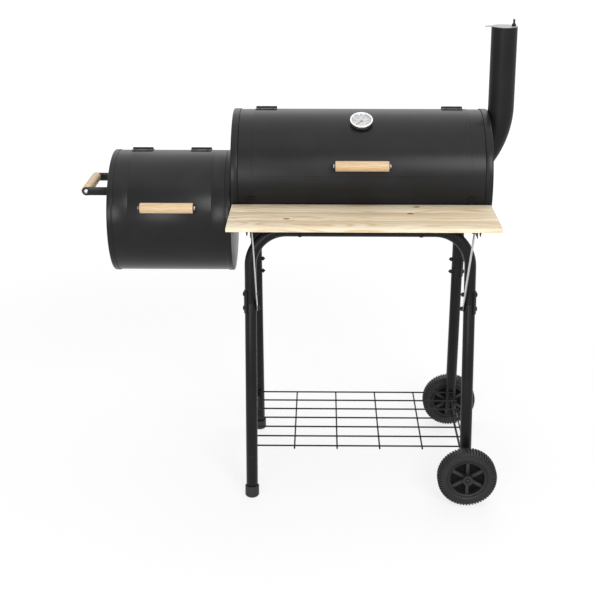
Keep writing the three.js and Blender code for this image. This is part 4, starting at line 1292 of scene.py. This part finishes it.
@dataclass
class AirVent:
    """The turning disc over the air holes in the firebox's left cap."""

    height: float = 0.6285
    face: float = -0.6028
    radius: float = 0.046
    hole: float = 0.012
    hole_facets: int = 32
    circle: float = 0.028
    sheet: float = 0.0012
    tab_height: float = 0.0375
    tab_length: float = 0.0045
    tab_radius: float = 0.005
    tab_edge: float = 0.0002

    @property
    def middles(self) -> list[Pair]:
        """The middles of the four holes, from the disc's middle."""
        return arc((0.0, 0.0), self.circle, 45, 315, 3)

    def cap_holes(self) -> list[Profile]:
        """The holes in the cap, in its Y and Z."""
        last = 360 - 360 / self.hole_facets
        return [arc((y, self.height + z), self.hole, 0, last, self.hole_facets - 1) for y, z in self.middles]

    def build(self) -> None:
        """Builds the disc, its bent tab, and the pivot's head."""
        form, head = Form(), Form()
        place = frame_on(-BACK, UP, -RIGHT, (self.face - GAP, 0.0, self.height))
        loop = form.ring(place, self.radius, 72)
        for x, y in self.middles:
            loop += form.ring(place @ moved(x, y, 0.0), self.hole, self.hole_facets)
        form.fill(loop)
        form.face_outward(place @ Vector((0.0, 0.0, -0.1)), along=True)
        bmesh.ops.solidify(form.bm, geom=form.bm.faces[:], thickness=self.sheet)
        bmesh.ops.translate(form.bm, vec=RIGHT * -self.sheet, verts=form.bm.verts[:])
        tab = frame_on(-BACK, -RIGHT, -UP, (self.face - GAP, 0.0, self.height + self.tab_height))
        form.slab(Outline.tongue(self.tab_length, self.tab_radius), self.sheet, tab, self.tab_edge)
        form.piece("vent_disc", HEAT_PAINT, "vent", body=Body.VENT)
        Fastener().dome(head, place @ moved(0.0, 0.0, self.sheet + GAP))
        head.piece("vent_rivet", BLACK_HARDWARE)


@dataclass
class Chimney:
    """The bent chimney pipe with its flange and the swinging damper."""

    x: float = 0.3391
    radius: float = 0.031
    top: float = 1.140
    wall: float = 0.0012
    bend_start: float = 0.952
    bend_radius: float = 0.220
    bend_angle: float = 48.0
    face: float = 0.3078
    flange_low: float = 0.775
    flange_high: float = 0.917
    flange_width: float = 0.086
    flange_corner: float = 0.031
    flange_sheet: float = 0.0015
    disc_radius: float = 0.0315
    disc_sheet: float = 0.0016
    disc_low: float = 1.1403
    stud_x: float = 0.3611
    stud_low: float = 1.132
    stud_top: float = 1.158
    stud_radius: float = 0.0026
    nut: Fastener = Fastener(nut_across=0.0092, nut_height=0.005)
    nut_low: float = 1.1422
    ear_size: Pair = (0.012, 0.014)
    ear_flat: Point = (0.3626, 0.0, 1.133)
    ear_root: Point = (0.3672, 0.0, 1.1268)
    ear_edge: float = 0.0002
    tab_reach: Pair = (0.0125, 0.0145)
    tab_half: Pair = (0.0075, 0.0045)

    def build(self) -> None:
        """Builds the pipe, stud and damper."""
        self.pipe()
        self.stud()
        self.damper()

    def pipe(self) -> None:
        """Builds the pipe, cut flat at its flange, and the flange."""
        form, flange = Form(), Form()
        bend = Bend((self.x - self.bend_radius, 0.0, self.bend_start), BACK,
                    math.radians(self.bend_angle), 32)
        form.tube(aim((self.x, 0.0, self.top), -UP), self.radius,
                  [UP * (self.bend_start - self.top), bend], 64, closed=False)
        form.cut((self.face, 0.0, 0.0), -RIGHT, keep=False)
        bmesh.ops.recalc_face_normals(form.bm, faces=form.bm.faces[:])
        form.piece("chimney_tube", STACK_PAINT, "chimney_pipe", wall=self.wall)
        low, high = self.flange_low, self.flange_high
        outline = Outline.rounded(self.flange_width, high - low, self.flange_corner, 12)
        place = frame_on(BACK, UP, RIGHT, (self.face, 0.0, (low + high) / 2))
        flange.slab(outline, self.flange_sheet, place, EDGE)
        flange.piece("chimney_flange", STACK_PAINT)

    def stud(self) -> None:
        """Builds the damper's stud, its nut and the ear that holds it."""
        form = Form()
        form.rod((self.stud_x, 0, self.stud_low), (self.stud_x, 0, self.stud_top), self.stud_radius, 20, EDGE)
        self.nut.nut(form, moved(self.stud_x, 0.0, self.nut_low))
        sheet, (width, drop) = self.disc_sheet, self.ear_size
        form.block((width, width, sheet), moved(*self.ear_flat), self.ear_edge)
        form.block((sheet, width, drop), moved(*self.ear_root), self.ear_edge)
        form.piece("damper_bolt", BLACK_HARDWARE, "damper_stud")

    def damper(self) -> None:
        """Builds the round plate with its tab."""
        form, r = Form(), self.disc_radius
        tab = mirrored([(-r - reach, half) for reach, half in zip(self.tab_reach, self.tab_half)])
        form.slab([*arc((0, 0), r, -164, 160, 54), *tab], self.disc_sheet,
                  moved(self.x, 0.0, self.disc_low), EDGE)
        form.piece("damper_plate", DAMPER_STEEL, "damper", body=Body.DAMPER)


@dataclass
class TubeFrame:
    """Two bent arches and four legs of round tube, with splice plates and two foot caps."""

    drum: Barrel
    half: float = 0.264
    tube: float = 0.0143
    facets: int = 32
    run_height: float = 0.669
    run_offset: float = 0.119
    floor_offset: float = 0.188
    bend: float = 0.086
    seam: float = 0.492
    plate_low: float = 0.467
    plate_high: float = 0.523
    plate_sheet: float = 0.002
    plate_spread: float = 62.0
    plate_edge: float = 0.0005
    plate_sink: float = 0.0002
    plate_bolt: Fastener = Fastener(end=0.0079)
    upper_bolt: float = 0.514
    lower_bolt: float = 0.479
    strut_room: float = 0.0023
    saddle_at: float = 0.145
    saddle_radius: float = 0.009
    saddle_shank: float = 0.020
    saddle_nut_turn: float = 3.75
    head_sink: float = 0.0008
    left_end: float = 0.0065
    right_end: float = 0.048
    foot_play: float = 0.0005
    foot_ease: float = 0.0008
    foot_below: float = 0.003
    foot_radius: float = 0.0172
    foot_height: float = 0.027
    foot_floor: float = 0.006
    foot_round: float = 0.004
    rack_bolt: float = 0.106
    rack_nut: float = 0.0200
    rack_head: float = 0.0136

    @property
    def lean(self) -> float:
        """The legs' outward lean, in radians."""
        return math.atan2(self.floor_offset - self.run_offset, self.run_height)

    def on_leg(self, end: End, side: Side, z: float) -> Vector:
        """A point on a leg's centre line, by its height over the floor."""
        y = self.run_offset + (self.run_height - z) * math.tan(self.lean)
        return Vector((end.value * self.half, side.value * y, z))

    def up(self, side: Side) -> Vector:
        """The upward direction of the legs on one side."""
        return Vector((0.0, -side.value * math.sin(self.lean), math.cos(self.lean)))

    def build(self) -> None:
        """Builds the frame."""
        for side in Side:
            self.arch(side)
            self.foot(side)
            for end in End:
                self.leg(end, side)
                self.splice(end, side)

    def arch(self, side: Side) -> None:
        """Builds an arch and its two saddle bolts.

        Args:
            side: Front or rear.
        """
        form, bolt, drum = Form(), Fastener(), self.drum
        up = self.up(side)
        straight = self.half - self.bend
        top = Vector((0.0, side.value * self.run_offset, self.run_height))
        start = self.on_leg(End.LEFT, side, self.seam + GAP)
        shoulder = top - up * self.bend
        rise = shoulder - RIGHT * self.half - start
        left, right = (Bend(shoulder + RIGHT * x, up.cross(RIGHT)) for x in (-straight, straight))
        form.tube(aim(start, up), self.tube, [rise, left, RIGHT * 2 * straight, right, -rise], self.facets)
        bore = (drum.radius - drum.sheet) * math.cos(math.radians(self.saddle_nut_turn)) - GAP
        out = Vector((0.0, top.y, top.z - drum.axis))
        reach = out.length
        out.normalize()
        for x in (-self.saddle_at, self.saddle_at):
            place = Vector((x, 0.0, drum.axis))
            form.rod(place + out * (drum.radius + GAP), place + out * reach, self.saddle_radius, 28, EDGE)
            form.rod(place + out * (reach - self.saddle_shank), place + out * (reach + self.tube), bolt.shank)
            bolt.dome(form, aim(place + out * (reach + self.tube - self.head_sink), out))
            bolt.nut(form, aim(place + out * bore, -out))
        form.piece(f"{side.label}_arch_tube", TUBE_COATING, f"{side.label}_arch")

    def leg(self, end: End, side: Side) -> None:
        """Builds a lower leg with the rack's bolt through it.

        Args:
            end: Left or right.
            side: Front or rear.
        """
        form = Form()
        low = self.left_end if end is End.LEFT else self.right_end
        form.rod(self.on_leg(end, side, low), self.on_leg(end, side, self.seam - GAP),
                 self.tube, self.facets, TUBE_EDGE)
        place, out = self.on_leg(end, side, self.rack_bolt), BACK * side.value
        Fastener().through(form, place - out * self.rack_nut, place + out * self.rack_head)
        name = f"{side.label}_{end.label}_leg"
        form.piece(f"{name}_tube", TUBE_COATING, name)

    def splice(self, end: End, side: Side) -> None:
        """Builds a splice plate, curved round the tube, with two bolts.

        Args:
            end: Left or right.
            side: Front or rear.
        """
        form, bolt = Form(), self.plate_bolt
        inner = self.tube + GAP
        outer = inner + self.plate_sheet
        low, high = ((0 if end is End.RIGHT else 180) + way * self.plate_spread for way in (-1, 1))
        outline = [*arc((0, 0), outer, low, high, 14), *arc((0, 0), inner, high, low, 14)]
        up, out = self.up(side), RIGHT * end.value
        place = frame_on(RIGHT, up.cross(RIGHT), up, self.on_leg(end, side, self.plate_low))
        form.slab(outline, self.plate_high - self.plate_low, place, self.plate_edge)
        for height in (self.upper_bolt, self.lower_bolt):
            centre = self.on_leg(end, side, height)
            strut = side is Side.FRONT and height == self.lower_bolt
            seat = inner + (self.strut_room if strut else 0.0)
            form.rod(centre + out * (outer - self.plate_sheet / 2), centre - out * seat, bolt.shank)
            bolt.dome(form, aim(centre + out * (outer - self.plate_sink), out))
            bolt.nut(form, aim(centre - out * seat, -out))
        name = f"{side.label}_{end.label}_splice"
        form.piece(f"{name}_plate", TUBE_COATING, name)

    def foot(self, side: Side) -> None:
        """Builds a moulded foot cap, level with the floor.

        Args:
            side: Front or rear.
        """
        form = Form()
        inner, outer, ease = self.tube + self.foot_play, self.foot_radius, self.foot_ease
        top, low, r = self.foot_height, -self.foot_below, self.foot_round
        profile = [(0.0, low), (outer - r, low), *arc((outer - r, r), r, -60, 0, 4), (outer, top - ease),
                   (outer - ease, top), (inner, top), (inner, self.foot_floor), (0.0, self.foot_floor)]
        form.turned(profile, aim(self.on_leg(End.LEFT, side, 0.0), self.up(side)), 40)
        sole = form.cut((0.0, 0.0, 0.0), -UP, keep=False)
        bmesh.ops.holes_fill(form.bm, edges=sole, sides=0)
        form.piece(f"{side.label}_foot_cap", PLASTIC, f"{side.label}_foot")


@dataclass
class Wheel:
    """One moulded wheel: a lugged tread, a recessed hub with six spokes and a boss."""

    side: Side
    x: float = 0.264
    half: float = 0.019
    height: float = 0.07254
    offset: float = 0.22123
    facets: int = 96
    lugs: int = 60
    lug_width: float = 0.0034
    lug: tuple[Pair, ...] = ((0.0556, 0.0015), (0.0665, 0.0008), (0.0705, 0.0042), (0.0725, 0.0085))
    tread: tuple[Pair, ...] = (
        (0.0420, 0.0050), (0.0440, 0.0035), (0.0450, 0.0035), (0.0460, 0.0055), (0.0480, 0.0055),
        (0.0495, 0.0030), (0.0520, 0.0016), (0.0528, 0.0006), (0.0540, 0.0006), (0.0548, 0.0018),
        (0.0655, 0.0034), (0.0695, 0.0075))
    spokes: int = 6
    spoke_size: Pair = (0.0085, 0.024)
    spoke_edge: float = 0.0012
    spoke_overlap: float = 0.002
    hub: float = 0.041
    web: float = 0.003
    boss: float = 0.0125
    boss_half: float = 0.0245
    boss_ease: float = 0.0015
    bore: float = 0.0035
    root: float = 0.001

    @property
    def place(self) -> Matrix:
        """The wheel's middle, its local Z along the axle."""
        out = self.side.value
        return frame_on(RIGHT * out, -UP, BACK * out, (self.x, out * self.offset, self.height))

    def build(self) -> None:
        """Builds the moulding, and the web between its spokes in near-black plastic as painted shade of the
        deep hub recess.
        """
        form, web = Form(), Form()
        h, boss, root, ease = self.boss_half, self.boss, self.root, self.boss_ease
        hub_face = [(self.bore, h - root), (self.bore + root, h), (boss - ease, h), (boss, h - ease)]
        lug, tread = ([(r, self.half - low) for r, low in face] for face in (self.lug, self.tread))
        for face in (hub_face, [(self.hub - root, self.web + root), *tread]):
            form.turned(mirrored(face), self.place, self.facets)
        upright = frame_on(RIGHT, UP, -BACK, (0.0, self.lug_width / 2, 0.0))
        for i in range(self.lugs):
            spin = Matrix.Rotation(2 * math.pi * i / self.lugs, 4, "Z")
            form.slab(mirrored(lug), self.lug_width, self.place @ spin @ upright)
        size = (self.hub - boss + 2 * self.spoke_overlap, *self.spoke_size)
        for i in range(self.spokes):
            spin = Matrix.Rotation(math.pi * (2 * i + 1) / self.spokes, 4, "Z")
            form.block(size, self.place @ spin @ moved((self.hub + boss) / 2, 0.0, 0.0), self.spoke_edge)
        node = f"{self.side.label}_wheel"
        body = Body(f"{node}_body")
        form.piece(f"{node}_moulding", PLASTIC, node, body=body)
        # The web is darker than the moulding: painted shade of the deep recess round the hub.
        web.turned(mirrored([(boss - root, self.web), (self.hub, self.web)]), self.place, self.facets)
        web.piece(f"{node}_web", RECESS_SHADE_PLASTIC, node, body=body)


@dataclass
class Axle:
    """The axle rod with its head and nut."""

    x: float = 0.264
    radius: float = 0.003
    tip: float = 0.24623
    height: float = 0.07254
    head: Fastener = Fastener(0.0069, 0.004)
    head_overlap: float = 0.001
    thread: float = 0.006
    nut_across: float = 0.0112
    nut_height: float = 0.0058
    nut_edge: float = 0.0005

    def build(self) -> None:
        """Builds the axle and its nut."""
        form, nut = Form(), Form()
        front, rear = (Vector((self.x, way * self.tip, self.height)) for way in (-1, 1))
        form.rod(front - BACK * self.head_overlap, rear + BACK * self.thread, self.radius, 28, TUBE_EDGE)
        self.head.dome(form, aim(front, -BACK))
        form.piece("axle_rod", BLACK_HARDWARE, "axle")
        nut.slab(Outline.hexagon(self.nut_across), self.nut_height, aim(rear, BACK), self.nut_edge)
        nut.piece("axle_lock_nut", BLACK_HARDWARE, "axle_nut")


@dataclass
class WireRack:
    """The bottom rack of welded wire."""

    cart: TubeFrame
    height: float = 0.121
    length: float = 0.545
    wire: float = 0.002
    rods: int = 7
    crosses: tuple[float, ...] = (0.0529, 0.1587, 0.2645)
    tip: float = 0.008
    weld: float = 0.0006
    tab_width: float = 0.018
    tab_sheet: float = 0.0018
    tab_drop: float = 0.024

    def build(self) -> None:
        """Builds the wires and tabs."""
        form, z = Form(), self.height
        half = own_box("bottom_rack")[1].y - self.tip
        end = self.length / 2
        for i in range(self.rods):
            y = -half + 2 * half * i / (self.rods - 1)
            form.rod((-end, y, z), (end, y, z), self.wire, edge=EDGE)
        low = z - 2 * self.wire + self.weld
        for x in self.crosses:
            reach = half if x == self.crosses[-1] else half + self.tip
            for way in (-1, 1):
                form.rod((way * x, -reach, low), (way * x, reach, low), self.wire, edge=EDGE)
        for way in (-1, 1):
            for x in (-self.cart.half, self.cart.half):
                tab = moved(x, way * (half + self.tab_sheet / 2), z - self.tab_drop / 2)
                form.block((self.tab_width, self.tab_sheet, self.tab_drop), tab, FINE_EDGE)
        form.piece("rack_wires", TUBE_COATING, "bottom_rack")


@dataclass
class Shelf:
    """Pine boards on two angle arms, each with a flat strut down to the leg."""

    drum: Barrel
    cart: TubeFrame
    boards: tuple[int, ...] = (1, 2, 3)
    top: float = 0.742
    thickness: float = 0.009
    edge: float = 0.0012
    arm_face: float = 0.2497
    arm_front: float = -0.333
    arm_rear: float = -0.075
    arm_sheet: float = 0.0015
    arm_width: float = 0.020
    arm_drop: float = 0.015
    drum_gap: float = 0.0006
    foot_sheet: float = 0.002
    foot_angles: Pair = (-24.5, -10.0)
    foot_corner: float = 0.003
    screw_drop: float = 0.0168
    strut_width: float = 0.014
    strut_sheet: float = 0.002
    strut_foot: Pair = (-0.13862, 0.479)
    strut_head: Pair = (-0.300, 0.7235)

    def build(self) -> None:
        """Builds the boards, arms and struts."""
        for number in self.boards:
            self.board(number)
        for end in End:
            self.arm(end)
            self.strut(end)

    def board(self, number: int) -> None:
        """Builds a board over its node's box.

        Args:
            number: Its number from the front.
        """
        form, node = Form(), f"shelf_board_{number}"
        low, high = own_box(node)
        form.block(high - low, Matrix.Translation((low + high) / 2), self.edge)
        form.piece(f"pine_board_{number}", PINE, node)

    def arm(self, end: End) -> None:
        """Builds an angle arm that ends on the drum, with its strut bolt and screws.

        Args:
            end: Left or right.
        """
        form, centre = Form(), self.drum.centre
        back = self.drum.radius + self.drum_gap
        top = self.top - self.thickness - GAP
        out, sheet = end.value, self.arm_sheet
        flat_x = out * (self.arm_face + self.arm_width / 2)
        length, middle = self.arm_rear - self.arm_front, (self.arm_front + self.arm_rear) / 2
        form.block((self.arm_width, length, sheet), moved(flat_x, middle, top - sheet / 2))
        form.block((sheet, length, self.arm_drop),
                   moved(out * (self.arm_face + sheet / 2), middle, top - self.arm_drop / 2))
        for vert in form.bm.verts:
            away = (vert.co - centre) * (BACK + UP)
            if away.length < back:
                vert.co.y = -math.sqrt(max(back ** 2 - away.z ** 2, 0.0))
        low, high = (math.radians(angle) for angle in self.foot_angles)
        outer = back + self.foot_sheet
        outline = Outline.rounded(self.arm_width, (high - low) * outer, self.foot_corner, 3)
        form.rolled(outline, outer, (low + high) / 2, centre + RIGHT * flat_x, depth=self.foot_sheet)
        tail = self.arm_face - 2 * GAP - self.strut_sheet
        ends = (Vector((out * x, *self.strut_head)) for x in (tail, self.arm_face + sheet))
        Fastener().through(form, *ends)
        for number in self.boards:
            low, high = own_box(f"shelf_board_{number}")
            under = Vector((flat_x, (low.y + high.y) / 2, top - sheet))
            Fastener(end=self.screw_drop).nut(form, aim(under, -UP))
        form.piece(f"shelf_arm_{end.label}_angle", TUBE_COATING, f"shelf_arm_{end.label}")

    def strut(self, end: End) -> None:
        """Builds a flat strut with round ends.

        Args:
            end: Left or right.
        """
        form, sheet = Form(), self.strut_sheet
        foot, head = (Vector((0.0, *point)) for point in (self.strut_foot, self.strut_head))
        span = head - foot
        inner = self.cart.half - self.cart.tube - GAP - sheet
        x = inner if end is End.RIGHT else -inner - sheet
        along = span.normalized()
        place = frame_on(along.cross(RIGHT), along, RIGHT, foot + RIGHT * x)
        form.slab(Outline.tongue(span.length, self.strut_width / 2, 10, both=True), sheet, place, FINE_EDGE)
        form.piece(f"shelf_strut_{end.label}_strip", ZINC, f"shelf_strut_{end.label}")


@dataclass
class WireGrate:
    """A grate of round bars in a square frame, laid over its node's box."""

    node: str
    finish: Finish
    pitch: float
    frame_bar: float = 0.006
    bar: float = 0.004

    def build(self) -> None:
        """Builds the grate."""
        form, r = Form(), self.frame_bar / 2
        low, high = own_box(self.node)
        middle, size = (low + high) / 2, high - low
        for way in (-1, 1):
            y = middle.y + way * (size.y / 2 - r)
            x = middle.x + way * (size.x / 2 - r)
            form.rod((low.x, y, middle.z), (high.x, y, middle.z), r, edge=TUBE_EDGE)
            form.rod((x, low.y + r, middle.z), (x, high.y - r, middle.z), r)
        count = math.floor((size.x - 2 * self.frame_bar) / self.pitch)
        for i in range(1, count + 1):
            x = low.x + size.x * i / (count + 1)
            form.rod((x, low.y + r, middle.z), (x, high.y - r, middle.z), self.bar / 2, 12)
        form.piece(f"{self.node}_bars", self.finish, self.node)


@dataclass
class Lamp:
    """A soft rectangular lamp."""

    name: str
    place: tuple[float, float, float]
    size: Pair
    power: float

    def build(self) -> None:
        """Builds the lamp, aimed at the drum."""
        data = bpy.data.lights.new(self.name, "AREA")
        data.shape = "RECTANGLE"
        data.size, data.size_y = self.size
        data.energy = self.power
        holder = bpy.data.objects.new(self.name, data)
        holder.location = Vector(self.place) + OFFSET
        aimed = Vector((0.0, 0.0, 0.6)) - Vector(self.place)
        holder.rotation_euler = aimed.to_track_quat("-Z", "Y").to_euler()
        bpy.context.scene.collection.objects.link(holder)


@dataclass
class Studio:
    """The pale floor, the soft lamps and the camera."""

    eye: tuple[float, float, float] = (-0.0931, -2.8268, 1.502)
    pitch: float = 16.389
    yaw: float = 0.665
    focal: float = 1184.9
    picture: float = 600.0
    sensor: float = 36.0
    shift: Pair = (-0.02, -0.14)
    soft_light: float = 0.33
    floor_half: float = 30.0
    floor_glow: float = 1.08
    lamps: tuple[Lamp, ...] = (
        Lamp("left_window", (-1.35, -4.2, 1.3), (1.4, 1.5), 50.0),
        Lamp("front_strip", (0.0, -4.2, 2.8), (2.4, 0.9), 9.0),
        Lamp("right_window", (1.5, -4.2, 2.95), (1.6, 2.0), 96.0),
        Lamp("overhead", (0.2, 0.6, 3.6), (5.0, 6.5), 86.0),
        Lamp("back_window", (0.0, 4.2, 2.6), (4.0, 1.6), 8.0))

    def build(self) -> None:
        """Builds the studio."""
        self.camera()
        self.world()
        self.floor()
        for lamp in self.lamps:
            lamp.build()
        bpy.context.scene.view_settings.view_transform = "Standard"

    def camera(self) -> None:
        """Places the camera at the photograph's viewpoint."""
        lens = bpy.data.cameras.new("camera")
        lens.lens = self.focal * self.sensor / self.picture
        lens.sensor_width = self.sensor
        lens.shift_x, lens.shift_y = self.shift
        lens.clip_start = 0.05
        holder = bpy.data.objects.new("camera", lens)
        holder.location = Vector(self.eye) + OFFSET
        holder.rotation_euler = (math.radians(90 - self.pitch), 0.0, math.radians(self.yaw))
        bpy.context.scene.collection.objects.link(holder)
        bpy.context.scene.camera = holder

    def world(self) -> None:
        """Builds a white backdrop for the camera and for reflections, softer for the light it sheds."""
        world = bpy.context.scene.world = bpy.data.worlds.new("studio")
        sky = Shader(world)
        sky.tree.nodes.clear()
        white = sky.node("Background", sockets={"Color": (1.0, 1.0, 1.0, 1.0)})
        soft = sky.node("Background", sockets={"Color": (0.98, 0.99, 1.0, 1.0), "Strength": self.soft_light})
        mix = sky.node("MixShader", sockets={0: sky.seen(), 1: soft, 2: white})
        sky.node("OutputWorld", sockets={"Surface": mix})

    def floor(self) -> None:
        """Builds a wide floor that keeps the object's shadow and glows away from it."""
        form = Form()
        bmesh.ops.create_grid(form.bm, x_segments=1, y_segments=1, size=self.floor_half)
        piece = form.place("floor")
        material = bpy.data.materials.new("pale_floor")
        shader, nodes = Shader(material), material.node_tree.nodes
        ground = shader.feed(nodes["Principled BSDF"], {
            "Base Color": (0.9, 0.9, 0.9, 1.0), "Roughness": 0.6, "Specular IOR Level": 0.2})
        away = shader.node("VectorMath", {"operation": "LENGTH"}, {0: shader.place()}).part("Value")
        glow = shader.node("Emission", sockets={"Strength": self.floor_glow})
        amount = shader.seen() * away.ramp(1.0, 3.4, 0.7, 1.0)
        mix = shader.node("MixShader", sockets={0: amount, 1: ground, 2: glow})
        shader.feed(nodes["Material Output"], {"Surface": mix})
        piece.data.materials.append(material)


def opening(width: float, height: float, corner: float, middle: float, steps: int) -> Profile:
    """A rounded opening in a cap, in Y and Z, round its middle's height over the floor."""
    return [(y, middle + z) for y, z in Outline.rounded(width, height, corner, steps)]


def main() -> None:
    """Builds the smoker piece by piece."""
    logging.basicConfig(level=logging.INFO, format="%(name)s: %(message)s")
    vent = AirVent()
    duct = opening(0.170, 0.096, 0.030, 0.737, 8)
    drum = Barrel(
        "drum", Body.DRUM_LID, radius=0.150, length=0.615, axis=0.788, middle=0.0, lid_width=0.514,
        lid_low=8.7, lid_corner=0.004, window_low=13.5, window_width=0.490, flange=0.017,
        hinges=(-0.228, 0.222),
        openings={End.LEFT: [duct], End.RIGHT: [opening(0.048, 0.094, 0.016, 0.853, 6)]})
    firebox = Barrel(
        "firebox", Body.FIREBOX_LID, radius=0.148, length=0.295, axis=0.6865, middle=-0.4553,
        lid_width=0.264, lid_low=-9.5, lid_corner=0.012, window_low=-4.0, window_width=0.240,
        flange=0.013, hinges=(-0.078, 0.066), creases=(-0.098, 0.101),
        openings={End.LEFT: vent.cap_holes(), End.RIGHT: [duct]})
    cart = TubeFrame(drum)
    grip_angle, dial_angle = 17.0, 61.0
    side_seat = frame_on(-BACK, UP, -RIGHT, (-0.6031, 0.0, 0.752))
    pieces = [
        drum, firebox,
        GripHandle("drum_lid", Body.DRUM_LID, drum.seat(drum.lid_radius + GAP, grip_angle), LID_WOOD),
        GripHandle("firebox_lid", Body.FIREBOX_LID, firebox.seat(firebox.lid_radius + GAP, grip_angle),
                   LID_WOOD),
        GripHandle("side", Body.CART, side_seat, SIDE_WOOD, 0.138, 0.059),
        Thermometer(drum.seat(drum.lid_radius + GAP, dial_angle)), vent, Chimney(), cart,
        Wheel(Side.FRONT), Wheel(Side.REAR), Axle(), WireRack(cart), Shelf(drum, cart),
        WireGrate("cooking_grate_left", GRATE_WIRE, 0.0155),
        WireGrate("cooking_grate_right", GRATE_WIRE, 0.0155),
        WireGrate("charcoal_grate", BLACK_HARDWARE, 0.027),
        WireGrate("firebox_grate", BLACK_HARDWARE, 0.022),
        Studio(),
    ]
    for piece in pieces:
        piece.build()
        LOG.info("built %s", type(piece).__name__)


if __name__ == "__main__":
    main()
